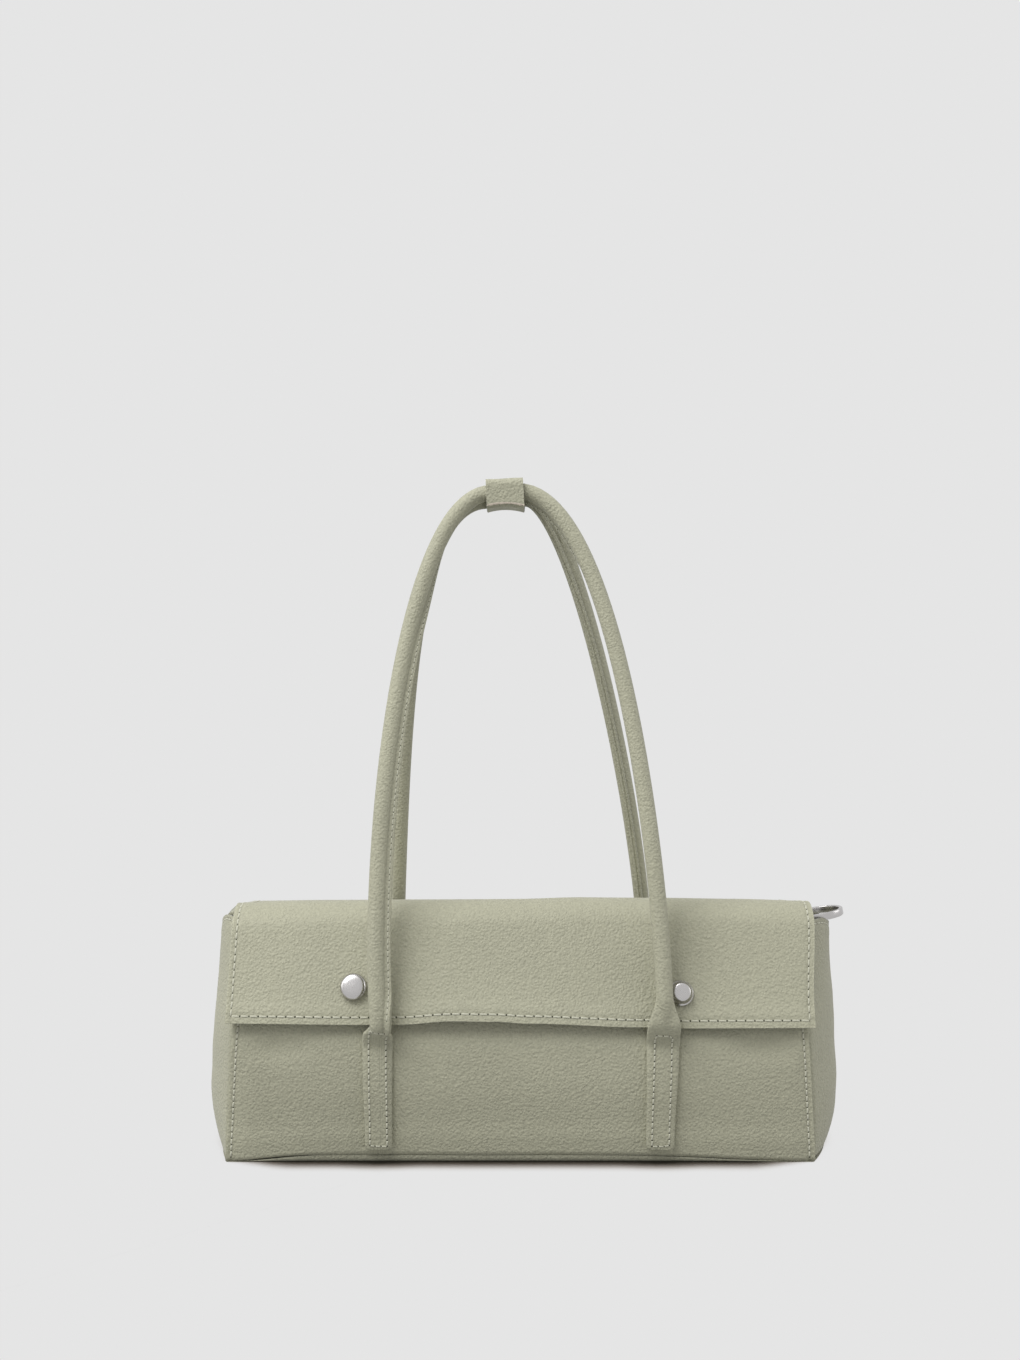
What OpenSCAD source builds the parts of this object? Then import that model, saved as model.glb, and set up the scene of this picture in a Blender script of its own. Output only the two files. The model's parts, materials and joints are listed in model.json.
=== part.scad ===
// Baguette bag: a flap bag with soft billowed ends and two tube handles joined at the grip.
// Millimetres. The bag stands on z = 0, its front faces -Y, and x = 0 is its middle.

/* [Body] */
// Width of the front and back panels at the base
panel_bottom_w = 283; // [240:1:320]
// Width of the front and back panels at the mouth
panel_top_w = 272; // [240:1:310]
// Height of the body at its mouth
body_h = 108; // [102:1:118]
// Depth of the body from front to back at the base
body_d = 100; // [85:1:130]
// How far each end billows out at its fullest
end_billow = 21; // [15:1:28]
// How far each end billows out at the mouth
mouth_billow = 18; // [8:1:24]
// How far each end billows out at the base
base_billow = 11; // [4:1:18]
// How far below the mouth the panels start to lean in under the flap
lean_drop = 48; // [44:1:58]
// Lean of the panels above that height, in mm across for each mm up
lean_slope = 0.4; // [0.3:0.02:0.5]

/* [Leather] */
// Thickness of the front and back panels
panel_t = 2.2; // [1.6:0.1:3]
// Thickness of the end gussets
gusset_t = 2; // [1.2:0.1:3]
// Thickness of the base panel
base_t = 2.2; // [1.2:0.1:4]
// How far the panel edges stand out past the gussets
seam_edge = 0.8; // [0.2:0.1:2]
// Thickness of the fabric lining
lining_t = 0.8; // [0.4:0.1:1.5]
// Thickness of the leather facing inside the mouth
facing_t = 1; // [0.6:0.1:2]
// Depth of the facing inside the mouth
facing_h = 22; // [18:1:30]
// Thickness of the stiff board in the base
board_t = 2; // [1:0.1:4]
// Gap round the stiff board
board_gap = 1.5; // [0.5:0.1:4]

/* [Flap] */
// How far the sides of the flap stop short of the ring bars
flap_side_gap = 5; // [1:0.5:9]
// Thickness of the outer leather of the flap
flap_outer_t = 1.2; // [0.8:0.1:1.6]
// Thickness of the leather that faces the underside of the flap
flap_facing_t = 1; // [0.6:0.1:1.6]
// How far the flap hangs down the front from the height of the mouth
flap_drop = 42; // [36:0.5:46]
// Height of the flap crest above the mouth
flap_rise = 14; // [10:0.5:20]
// Fall of the flap top towards the back, in mm down for each mm back
flap_fall = 0.16; // [0.08:0.01:0.2]
// Radius of the soft fold at the front of the flap
flap_fold_r = 16; // [12:1:20]
// How far the strip that holds the flap reaches down the back from the mouth
strip_drop = 25; // [15:1:34]

/* [Handles] */
// Distance between the centres of the two tabs of a handle
tab_spacing = 136.4; // [120:0.2:138]
// Diameter of the round part of the handle tubes
tube_d = 8.2; // [7:0.1:9]
// Reach of the stitched fin from the centre of the tube
fin_reach = 6.6; // [5:0.1:9]
// Thickness of the stitched fin
fin_t = 2.4; // [1.8:0.1:3.6]
// Gap of the seam between the two edges of leather in the fin
fin_seam = 0.2; // [0.1:0.05:0.3]
// Thickness of the leather of the tubes
tube_leather_t = 1.1; // [0.8:0.1:1.6]
// Height of the middle of the grip above the mouth
grip_rise = 220; // [180:1:260]
// Sideways lean of the grip from the middle
grip_x = -7.5; // [-15:0.5:15]
// How far each tube centre stands from the middle plane at the grip
grip_half_gap = 5.4; // [5.2:0.1:8]
// Tilt of the grip, its right side up, in degrees
grip_tilt = 3; // [0:0.5:6]
// How far the left leg of the front handle bows out on its way up
front_left_bow = 8; // [0:0.5:12]
// Rise of that leg before it turns in
front_left_rise = 173; // [140:1:200]
// Flat run of the front arch on the left of the grip
front_left_run = 25; // [15:1:45]
// How far the right leg of the front handle bows out on its way up
front_right_bow = 2; // [0:0.5:12]
// Rise of that leg before it turns in
front_right_rise = 151; // [120:1:190]
// Flat run of the front arch on the right of the grip
front_right_run = 29; // [15:1:45]
// How far the left leg of the rear handle bows in on its way up
rear_left_draw = 5.6; // [0:0.2:10]
// Rise of that leg before it turns in
rear_left_rise = 122; // [100:1:160]
// Flat run of the rear arch on the left of the grip
rear_left_run = 45; // [15:1:50]
// How far the right leg of the rear handle bows in on its way up
rear_right_draw = 0.5; // [0:0.5:10]
// Rise of that leg before it turns in
rear_right_rise = 115; // [100:1:160]
// Flat run of the rear arch on the right of the grip
rear_right_run = 22; // [15:1:50]

/* [Handle tabs] */
// Width of the sewn tabs
tab_w = 15.4; // [12:0.2:18]
// Thickness of the sewn tabs
tab_t = 2.6; // [1.6:0.1:4]
// Height of the lower edge of the tabs
tab_bottom_z = 6; // [3:0.5:20]
// Radius of the lower corners of the tabs
tab_corner_r = 1.5; // [0.5:0.1:4]
// How far the necks of the tabs pivot below the lower edge of the flap
pivot_drop = 3.5; // [3:0.5:8]
// How far below the pivot the tabs start to narrow to the tubes
shoulder_drop = 6.5; // [5.5:0.5:12]
// Gap between the rounded tube end and the tab
neck_gap = 0.4; // [0.3:0.05:0.8]

/* [Keeper] */
// Width of the keeper round both tubes
keeper_w = 18.9; // [14:0.1:26]
// Thickness of the keeper leather
keeper_t = 1.3; // [0.8:0.1:2]
// Room above and below the tubes inside the keeper
keeper_room = 0.5; // [0.3:0.1:1.5]
// Gap between the two halves of the keeper
keeper_gap = 0.4; // [0.3:0.05:0.6]

/* [Studs and magnets] */
// Gap between the tube ends and the feet of the studs, across the bag
stud_gap = 0.6; // [0.4:0.1:12]
// Height of the studs above the lower edge of the flap
stud_rise = 17; // [16.5:0.5:22]
// Diameter of the stud at its foot
stud_d = 12.2; // [9:0.1:12.6]
// Diameter of the flat face of the stud
stud_face_d = 8.8; // [5:0.1:9]
// Height of the stud
stud_h = 4.5; // [2:0.1:5]
// Thickness of the rim at the foot of the stud
stud_rim_t = 0.9; // [0.5:0.1:1.5]
// Diameter of the shank that rivets the stud to its magnet
shank_d = 3.6; // [2:0.1:5]
// Gap round the shank
shank_gap = 0.05; // [0.02:0.01:0.1]
// Diameter of the flat magnets
magnet_d = 14; // [10:0.5:16]
// Thickness of the washer that holds the panel magnet
washer_t = 0.6; // [0.4:0.1:1]
// How far the washer reaches past the magnet
washer_rim = 1.5; // [1:0.1:2]

/* [Rings] */
// Distance of the ring bars inside the facing at the ends of the mouth
ring_inset = 4.1; // [3.8:0.1:4.6]
// Height of the ring bars above the mouth
ring_bar_rise = 1.8; // [1:0.1:2]
// Overall length of the ring along its bar
ring_w = 22; // [20:0.5:24]
// Reach of the ring from its bar to its far edge
ring_reach = 20; // [16:0.5:22]
// Width of the flat band of the ring
ring_band_w = 3.6; // [2:0.1:4]
// Thickness of the flat band of the ring
ring_band_t = 1.8; // [1.2:0.1:2.4]
// Diameter of the ring bar
ring_bar_d = 3.2; // [2:0.1:3.6]
// Width of the leather tabs that hold the rings
ring_tab_w = 14.5; // [10:0.5:15.5]
// Thickness of the leather round the ring bar
ring_tab_t = 1.2; // [0.8:0.1:1.4]
// Gap round the ring bar in its tab
ring_bar_gap = 0.3; // [0.2:0.05:0.4]
// Length of the sewn tail of the ring tabs below the mouth
ring_tail_h = 11; // [8:0.5:12]
// Angle of the right ring above the level, leaning out
right_ring_lift = 10; // [8:1:30]
// Angle of the left ring off straight down, leaning in
left_ring_lean = 12; // [10:1:20]

/* [Hidden] */
$fn = 64;
leather = [0.60, 0.62, 0.50];
leather_inside = [0.55, 0.57, 0.46];
lining_cloth = [0.72, 0.70, 0.62];
board_grey = [0.45, 0.43, 0.40];
nickel = [0.78, 0.78, 0.76];
steel = [0.60, 0.60, 0.62];
cord_white = [0.85, 0.84, 0.80];

// Running gap under the flap, gap at the cuts of its folds, and skin gap that keeps
// the lining and the facing off the walls
flap_gap = 0.4;
fold_gap = 0.3;
skin_gap = 0.1;
handle_clearance = 1.5;
// Small gaps that keep the filler off the tube, the keeper off the tubes, and the tails of
// the ring tabs off the curved facing
core_gap = 0.15;
seat_gap = 0.15;
tail_gap = 0.3;
flap_edge_z = body_h - flap_drop;
flap_top_z = body_h + flap_rise;
strip_edge_z = body_h - strip_drop;
grip_z = body_h + grip_rise;
pivot_z = flap_edge_z - pivot_drop;
shoulder_z = pivot_z - shoulder_drop;
stud_z = flap_edge_z + stud_rise;
flap_t = flap_outer_t + flap_facing_t;
tube_r = tube_d / 2;
core_r = tube_r - tube_leather_t;
board_top_z = base_t + board_t;
facing_low_z = body_h - facing_h;
big = 400;

// Front wall: how far it leans back at a height, and half the panel width there.
// It is plumb, then bends over lean_blend, then leans straight.
lean_blend = 14;
lean_start_z = body_h - lean_drop;
lean_end_z = lean_start_z + lean_blend;
lean_middle_z = lean_start_z + lean_blend / 2;
lean_norm = norm([1, lean_slope]);
function lean_at(z) =
    z <= lean_start_z ? 0
    : z < lean_end_z ? lean_slope * pow(z - lean_start_z, 2) / (2 * lean_blend)
    : lean_slope * (z - lean_middle_z);
function slope_at(z) = lean_slope * min(1, max(0, (z - lean_start_z) / lean_blend));
function wall_y(z) = -body_d / 2 + lean_at(z);
function half_w(z) = (panel_bottom_w + (panel_top_w - panel_bottom_w) * z / body_h) / 2;

// Heights at which the curved walls have a row of points
low_rows = [for (i = [1 : 5]) board_top_z + (lean_start_z - board_top_z) * i / 6];
bend_rows = [for (i = [0 : 3]) lean_start_z + lean_blend * i / 3];
shell_rows = concat([base_t, board_top_z], low_rows, bend_rows,
    [(lean_end_z + facing_low_z) / 2, facing_low_z, facing_low_z + facing_h / 2, body_h]);
gusset_steps = 10;

// Gussets: billow at a height, fullest at mid height, and the arched line across the depth
function billow_at(z) = let (middle = body_h / 2)
    z < middle ? end_billow - (end_billow - base_billow) * pow((middle - z) / middle, 3)
    : end_billow - (end_billow - mouth_billow) * pow((z - middle) / middle, 2);
function end_line(z, inset, side_gap) = [for (i = [0 : gusset_steps])
    let (s = 2 * i / gusset_steps - 1, reach = -wall_y(z) - panel_t - side_gap)
    [half_w(z) - seam_edge - inset + billow_at(z) * (1 - s * s), s * reach, z]];
// Inside of the facing at the middle of an end
function facing_x(z) = half_w(z) - seam_edge + billow_at(z) - gusset_t - skin_gap - facing_t;
// Line of the ring tabs' tails, clear of the facing at both edges of the tabs
function tail_x(z) = let (reach = -wall_y(z) - panel_t - skin_gap - facing_t)
    facing_x(z) - billow_at(z) * pow(ring_tab_w / 2 / reach, 2) - tail_gap;
ring_bar_x = facing_x(body_h) - ring_inset;
ring_bar_z = body_h + ring_bar_rise;
function turned(points) = [for (p = points) [-p[0], -p[1], p[2]]];
function ring_line(z, inset, side_gap) =
    concat(end_line(z, inset, side_gap), turned(end_line(z, inset, side_gap)));
function rows_between(low, high) = [for (z = shell_rows) if (z >= low && z <= high) z];
function reversed(list) = [for (i = [len(list) - 1 : -1 : 0]) list[i]];
function flat_points(points) = [for (p = points) [p[0], p[1]]];

// Closed band: an outer and an inner ring at each height, joined at the top and the bottom
module ring_shell(rows, inset, side_gap, t) {
    n = 2 * (gusset_steps + 1);
    m = len(rows);
    outer = [for (z = rows) each ring_line(z, inset, side_gap)];
    inner = [for (z = rows) each ring_line(z, inset + t, side_gap + t)];
    walls = [for (r = [0 : m - 2], i = [0 : n - 1])
        let (j = (i + 1) % n, a = r * n + i, b = r * n + j, c = b + n, d = a + n, k = m * n)
        each [[a, d, c], [a, c, b], [k + a, k + b, k + c], [k + a, k + c, k + d]]];
    rims = [for (i = [0 : n - 1])
        let (j = (i + 1) % n, k = m * n, top = (m - 1) * n)
        each [[i, j, k + j], [i, k + j, k + i],
            [top + i, k + top + i, k + top + j], [top + i, k + top + j, top + j]]];
    polyhedron(concat(outer, inner), concat(walls, rims));
}

// Solid between two grids of points that are the two faces of a curved sheet
module sheet_solid(face, back) {
    m = len(face);
    n = len(face[0]);
    k = m * n;
    points = concat([for (row = face) each row], [for (row = back) each row]);
    skins = [for (r = [0 : m - 2], i = [0 : n - 2])
        let (a = r * n + i, b = a + 1, c = a + n + 1, d = a + n)
        each [[a, d, c], [a, c, b], [k + a, k + b, k + c], [k + a, k + c, k + d]]];
    ends = [for (i = [0 : n - 2])
        let (top = (m - 1) * n + i)
        each [[i, i + 1, k + i + 1], [i, k + i + 1, k + i],
            [top, k + top, k + top + 1], [top, k + top + 1, top + 1]]];
    sides = [for (r = [0 : m - 2])
        let (a = r * n, d = a + n, b = a + n - 1, c = b + n)
        each [[a, k + a, k + d], [a, k + d, d], [b, c, k + c], [b, k + c, k + b]]];
    polyhedron(points, concat(skins, ends, sides));
}

// Extrusion of a side view, drawn as [y, z] points, across a width
module across(w) {
    rotate([90, 0, 90]) translate([0, 0, -w / 2]) linear_extrude(w) children();
}

// Extrusion of a front view, drawn as [x, z] points, through the whole depth
module through() {
    rotate([90, 0, 0]) translate([0, 0, -big / 2]) linear_extrude(big) children();
}

module turned_back(is_rear) {
    mirror([0, is_rear ? 1 : 0, 0]) children();
}

module turned_left(is_left) {
    mirror([is_left ? 1 : 0, 0, 0]) children();
}

// Front and back panels
module wall_panel() {
    outside = [for (z = shell_rows) [wall_y(z), z]];
    inside = [for (p = reversed(outside)) p + [panel_t, 0]];
    intersection() {
        across(panel_bottom_w) polygon(concat(outside, inside));
        through() polygon([[-half_w(base_t), base_t], [half_w(base_t), base_t],
            [half_w(body_h), body_h], [-half_w(body_h), body_h]]);
    }
}

// Places its children on the leaning outside of the front panel at a stud, +Z pointing out
module at_stud(is_left) {
    turned_left(is_left) translate([tab_spacing / 2 + tube_r + stud_gap + stud_d / 2, wall_y(stud_z), stud_z])
        rotate([90 - atan(lean_slope), 0, 0]) children();
}

module front_panel() {
    color(leather) difference() {
        wall_panel();
        for (is_left = [true, false]) at_stud(is_left) {
            translate([0, 0, -2 * panel_t]) cylinder(d = magnet_d, h = 3 * panel_t);
            washer_seat();
        }
    }
}

// Space of the washer, sunk into the inside of the panel
module washer_seat() {
    true_t = panel_t / lean_norm;
    translate([0, 0, -2 * panel_t]) cylinder(r = magnet_d / 2 + washer_rim, h = 2 * panel_t - true_t + washer_t);
}

module back_panel() {
    color(leather) turned_back(true) wall_panel();
}

module base_panel() {
    color(leather) linear_extrude(base_t) polygon(flat_points(ring_line(base_t, -seam_edge, -panel_t)));
}

module base_board() {
    edge = board_gap + gusset_t;
    color(board_grey) translate([0, 0, base_t]) linear_extrude(board_t)
        polygon(flat_points(ring_line(base_t, edge, board_gap)));
}

module end_gusset(is_left) {
    color(leather) rotate([0, 0, is_left ? 180 : 0]) sheet_solid(
        [for (z = shell_rows) end_line(z, 0, 0)],
        [for (z = shell_rows) end_line(z, gusset_t, 0)]);
}

// Fabric bag inside the walls: a band up to the facing and a floor on the stiff board
module lining() {
    inset = gusset_t + skin_gap;
    color(lining_cloth) {
        ring_shell(rows_between(board_top_z, facing_low_z), inset, skin_gap, lining_t);
        translate([0, 0, board_top_z]) linear_extrude(lining_t)
            polygon(flat_points(ring_line(board_top_z, inset + lining_t / 2, skin_gap + lining_t / 2)));
    }
}

module mouth_facing() {
    color(leather_inside) ring_shell(rows_between(facing_low_z, body_h), gusset_t + skin_gap, skin_gap, facing_t);
}

// Flap in side view. Its line follows the front wall at a distance out, turns over an arc,
// and falls to the back. flap_centre is the centre of that arc.
flap_w = 2 * (ring_bar_x - flap_side_gap);
under_r = flap_fold_r - flap_t;
flap_centre_z = flap_top_z - flap_fold_r;
flap_centre = [-body_d / 2 + lean_slope * (flap_centre_z - lean_middle_z) + lean_norm * (under_r - flap_gap),
    flap_centre_z];
lean_angle = 180 - atan(lean_slope);
top_angle = 90 - atan(flap_fall);
fold_angle = (lean_angle + top_angle) / 2;
arc_steps = 8;
function on_fold(angle, out) = flap_centre + (under_r + out) * [cos(angle), sin(angle)];
function off_wall(z, out) = [wall_y(z), z] + (flap_gap + out) / norm([1, slope_at(z)]) * [-1, slope_at(z)];
function arc_line(from, to, out) = [for (i = [0 : arc_steps]) on_fold(from + (to - from) * i / arc_steps, out)];

// Where the line of the flap top meets the line of the strip on the back panel, at a
// distance out of each. The hinge line of the flap is where their outsides meet.
function rear_corner(out) =
    let (start = on_fold(top_angle, out),
        strip_foot = body_d / 2 + lean_norm * out,
        y = (strip_foot - lean_slope * (start[1] + flap_fall * start[0] - lean_middle_z)) / (1 - lean_slope * flap_fall))
    [y, start[1] - flap_fall * (y - start[0])];
flap_hinge = rear_corner(flap_t);
fold_hinge = on_fold(fold_angle, 0);
rear_shift = fold_gap * [-1, flap_fall];
cut_angle = fold_gap / 2 / under_r * 180 / PI;

// Layer of the flap between two distances out from its underside
module front_layer(low, high) {
    rows = [flap_edge_z, (flap_edge_z + lean_end_z) / 2, lean_end_z];
    line_out = concat([for (z = rows) off_wall(z, high)], arc_line(lean_angle, fold_angle + cut_angle, high));
    line_in = concat([for (z = rows) off_wall(z, low)], arc_line(lean_angle, fold_angle + cut_angle, low));
    across(flap_w) polygon(concat(line_out, reversed(line_in)));
}

module top_layer(low, high) {
    line_out = arc_line(fold_angle - cut_angle, top_angle, high);
    line_in = arc_line(top_angle, fold_angle - cut_angle, low);
    across(flap_w) polygon(concat(line_out, [rear_corner(high) + rear_shift, rear_corner(low) + rear_shift], line_in));
}

// Strip sewn to the outside of the back panel, from which the flap hangs
module flap_strip() {
    inner = [-wall_y(strip_edge_z), strip_edge_z];
    outer = inner + flap_t / lean_norm * [1, lean_slope];
    color(leather) across(flap_w) polygon([inner, outer, flap_hinge, rear_corner(0)]);
}

module flap_top_outer() {
    color(leather) top_layer(flap_facing_t, flap_t);
}

module flap_top_facing() {
    color(leather_inside) top_layer(0, flap_facing_t);
}

module flap_front_outer() {
    color(leather) difference() {
        front_layer(flap_facing_t, flap_t);
        for (is_left = [true, false])
            at_stud(is_left) cylinder(r = shank_d / 2 + shank_gap, h = flap_gap + 2 * flap_t);
    }
}

module flap_front_facing() {
    color(leather_inside) difference() {
        front_layer(0, flap_facing_t);
        for (is_left = [true, false]) at_stud(is_left) cylinder(d = magnet_d, h = flap_gap + flap_t);
    }
}

// Stud: a rimmed cone with a flat face, and the shank that passes through the flap
module stud(is_left) {
    foot = flap_gap + flap_t;
    color(nickel) at_stud(is_left) {
        translate([0, 0, foot]) rotate_extrude() polygon([[0, 0], [stud_d / 2, 0],
            [stud_d / 2, stud_rim_t * 0.7], [stud_d / 2 - stud_rim_t * 0.4, stud_rim_t],
            [stud_face_d / 2 + stud_rim_t, stud_rim_t * 1.2], [stud_face_d / 2, stud_h - 0.2],
            [stud_face_d / 2 - 0.3, stud_h], [0, stud_h]]);
        translate([0, 0, flap_gap]) cylinder(d = shank_d, h = flap_t);
    }
}

module flap_magnet(is_left) {
    color(steel) at_stud(is_left) translate([0, 0, flap_gap]) difference() {
        cylinder(d = magnet_d, h = flap_facing_t);
        translate([0, 0, -1]) cylinder(r = shank_d / 2 + shank_gap, h = flap_facing_t + 2);
    }
}

module panel_magnet(is_left) {
    depth = panel_t / lean_norm - washer_t;
    color(steel) at_stud(is_left) translate([0, 0, -depth]) cylinder(d = magnet_d, h = depth);
}

module magnet_washer(is_left) {
    color(steel) at_stud(is_left) translate([0, 0, -panel_t / lean_norm])
        cylinder(r = magnet_d / 2 + washer_rim, h = washer_t);
}

// Sewn tab: a strap on the panel that narrows and thickens into a cradle for the tube end
pivot_y = -(body_d / 2 + flap_gap + flap_t + tube_r + handle_clearance);
module handle_tab(is_rear, is_left) {
    neck_r = tube_r + neck_gap;
    cradle_z = pivot_z - neck_r;
    wall = -body_d / 2;
    color(leather) turned_back(is_rear) turned_left(is_left) intersection() {
        translate([tab_spacing / 2, 0, 0]) difference() {
            across(tab_w) polygon([[wall, tab_bottom_z], [wall - tab_t, tab_bottom_z],
                [wall - tab_t, shoulder_z - tube_r], [pivot_y, cradle_z - 0.8], [pivot_y, cradle_z + neck_r / 2],
                [wall - tab_t / 2, pivot_z + 1], [wall, pivot_z + 1]]);
            translate([-tab_w, pivot_y, pivot_z]) rotate([0, 90, 0]) cylinder(r = neck_r, h = 2 * tab_w);
        }
        translate([tab_spacing / 2, 0, 0]) through() tab_outline();
    }
}

module tab_outline() {
    translate([-tab_w / 2 + tab_corner_r, tab_bottom_z]) square([tab_w - 2 * tab_corner_r, tab_corner_r]);
    translate([-tab_w / 2, tab_bottom_z + tab_corner_r]) square([tab_w, shoulder_z - tab_bottom_z - tab_corner_r]);
    for (side = [-1, 1])
        translate([side * (tab_w / 2 - tab_corner_r), tab_bottom_z + tab_corner_r]) circle(tab_corner_r);
    polygon([[-tab_w / 2, shoulder_z], [tab_w / 2, shoulder_z],
        [tube_r + 0.4, pivot_z + 2], [-tube_r - 0.4, pivot_z + 2]]);
}

// Handle tubes: two legs that are curves with four control points, and a straight grip.
// An arch is [left bow, left rise, left run, right bow, right rise, right run].
front_arch = [front_left_bow, front_left_rise, front_left_run, front_right_bow, front_right_rise, front_right_run];
rear_arch = [-rear_left_draw, rear_left_rise, rear_left_run, -rear_right_draw, rear_right_rise, rear_right_run];
leg_steps = 14;
// How far the straight grip runs on past each end of the keeper
grip_end = 0.6;
grip_dir = [cos(grip_tilt), sin(grip_tilt)];
function bezier(a, b, c, d, t) =
    pow(1 - t, 3) * a + 3 * pow(1 - t, 2) * t * b + 3 * (1 - t) * t * t * c + t * t * t * d;
function leg_point(side, bow, rise, run, t) =
    let (foot = [side * tab_spacing / 2, pivot_z],
        top = [grip_x, grip_z] + side * (keeper_w / 2 + grip_end) * grip_dir)
    bezier(foot, foot + [side * bow, rise], top + side * run * grip_dir, top, t);

// Side view of a handle: plumb at the neck, then a straight lean to the middle of the bag
function lean_share(z) = let (u = (z - pivot_z - tube_r) / (grip_z - pivot_z - tube_r), soft = 0.06)
    (u < 0 ? 0 : u < soft ? u * u / 2 / soft : u - soft / 2) / (1 - soft / 2);
function handle_y(z) = pivot_y + (-grip_half_gap - pivot_y) * lean_share(z);
function arch_path(arch) = let (flat_path = concat(
        [for (i = [0 : leg_steps]) leg_point(-1, arch[0], arch[1], arch[2], i / leg_steps)],
        [for (i = [leg_steps : -1 : 0]) leg_point(1, arch[3], arch[4], arch[5], i / leg_steps)]))
    [for (p = flat_path) [p[0], handle_y(p[1]), p[1]]];

// Sections are drawn as [inward, across] points, inward being towards the inside of the arch
section_steps = 14;
function round_points(r, half_gap) = let (start = asin(half_gap / r))
    [for (i = [0 : section_steps]) let (a = start + (360 - 2 * start) * i / section_steps) r * [cos(a), sin(a)]];
tube_section = concat(
    [[fin_reach, fin_t / 2]],
    round_points(tube_r, fin_t / 2),
    [[fin_reach, -fin_t / 2], [fin_reach, -fin_seam / 2]],
    reversed(round_points(core_r, fin_seam / 2)),
    [[fin_reach, fin_seam / 2]]);
core_section = round_points(core_r - core_gap, fin_seam / 2);

// Sweeps a section along a path that lies in an upright arch. The slit section of a tube
// goes round its outside and back round its inside, so its ends are strips between the two.
module arch_sweep(path, section, is_slit) {
    n = len(section);
    m = len(path);
    points = [for (i = [0 : m - 1])
        let (ahead = path[min(i + 1, m - 1)], behind = path[max(i - 1, 0)],
            along = i == 0 || i == m - 1 ? [0, 0, i == 0 ? 1 : -1] : (ahead - behind) / norm(ahead - behind),
            raw = cross([0, 1, 0], along),
            inward = raw / norm(raw),
            sideways = cross(along, inward))
        for (s = section) path[i] + s[0] * inward + s[1] * sideways];
    skin = [for (r = [0 : m - 2], i = [0 : n - 1])
        let (j = (i + 1) % n, a = r * n + i, b = r * n + j)
        each [[a, a + n, b + n], [a, b + n, b]]];
    last = (m - 1) * n;
    caps = is_slit
        ? [for (i = [0 : n / 2 - 2]) each [[i, i + 1, n - 2 - i, n - 1 - i],
            [last + n - 1 - i, last + n - 2 - i, last + i + 1, last + i]]]
        : [[for (i = [0 : n - 1]) i], [for (i = [n - 1 : -1 : 0]) last + i]];
    polyhedron(points, concat(skin, caps));
}

module handle_tube(is_rear) {
    color(leather) turned_back(is_rear) arch_sweep(arch_path(is_rear ? rear_arch : front_arch), tube_section, true);
}

module handle_core(is_rear) {
    color(cord_white) turned_back(is_rear) {
        arch_sweep(arch_path(is_rear ? rear_arch : front_arch), core_section, false);
        for (side = [-1, 1]) translate([side * tab_spacing / 2, pivot_y, pivot_z]) neck_end();
    }
}

// Rounded end that closes the foot of a tube
module neck_end() {
    difference() {
        sphere(tube_r);
        translate([-tube_d, -tube_d, 0]) cube(2 * tube_d);
    }
}

// Keeper: one leather band round both tubes, in two halves that part in the middle plane
module keeper_half(is_rear) {
    inner_top = tube_r + keeper_room;
    inner_bottom = fin_reach + keeper_room;
    inner_reach = grip_half_gap + tube_r + seat_gap;
    h = inner_top + inner_bottom + 2 * keeper_t;
    corner = 4;
    color(leather) turned_back(is_rear) translate([grip_x, 0, grip_z]) rotate([0, -grip_tilt, 0])
        across(keeper_w) intersection() {
            difference() {
                round_box(2 * (inner_reach + keeper_t), h, corner + keeper_t, inner_top + keeper_t - h / 2);
                round_box(2 * inner_reach, h - 2 * keeper_t, corner, inner_top + keeper_t - h / 2);
            }
            translate([-big, -big / 2]) square([big - keeper_gap / 2, big]);
        }
}

module round_box(w, h, r, middle) {
    translate([-w / 2 + r, middle - h / 2]) square([w - 2 * r, h]);
    translate([-w / 2, middle - h / 2 + r]) square([w, h - 2 * r]);
    for (u = [-1, 1], v = [-1, 1]) translate([u * (w / 2 - r), middle + v * (h / 2 - r)]) circle(r);
}

// Rings: a round bar and a flat band bent to a D, drawn flat with the bar on the Y axis
module d_outline(shrink) {
    r = ring_w / 2 - shrink;
    centre = ring_reach - ring_w / 2;
    translate([centre, 0]) circle(r);
    translate([0, -r]) square([centre, 2 * r]);
}

module ring() {
    color(nickel) {
        translate([0, 0, -ring_band_w / 2]) linear_extrude(ring_band_w) difference() {
            d_outline(0);
            d_outline(ring_band_t);
            translate([-ring_w, -ring_w]) square([ring_w, 2 * ring_w]);
        }
        translate([0, -ring_w / 2, 0]) rotate([-90, 0, 0]) cylinder(d = ring_bar_d, h = ring_w);
    }
}

module right_ring() {
    translate([ring_bar_x, 0, ring_bar_z]) rotate([0, -right_ring_lift, 0]) ring();
}

module left_ring() {
    translate([-ring_bar_x, 0, ring_bar_z]) rotate([0, 90 - left_ring_lean, 0]) ring();
}

// Ring tab: a leather loop round the bar, with its two ends sewn inside the facing
module ring_tab(is_left) {
    loop_r = ring_bar_d / 2 + ring_bar_gap + ring_tab_t;
    rows = rows_between(body_h - ring_tail_h, body_h);
    color(leather) turned_left(is_left) translate([0, ring_tab_w / 2, 0]) rotate([90, 0, 0]) linear_extrude(ring_tab_w)
        difference() {
            union() {
                translate([ring_bar_x, ring_bar_z]) circle(loop_r);
                polygon(concat([for (z = rows) [tail_x(z), z]],
                    [[ring_bar_x + loop_r * 0.8, ring_bar_z - loop_r * 0.4], [ring_bar_x - loop_r * 0.8, ring_bar_z - loop_r * 0.6]],
                    [for (z = reversed(rows)) [tail_x(z) - 2 * ring_tab_t, z]]));
            }
            translate([ring_bar_x, ring_bar_z]) circle(ring_bar_d / 2 + ring_bar_gap);
        }
}

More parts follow.
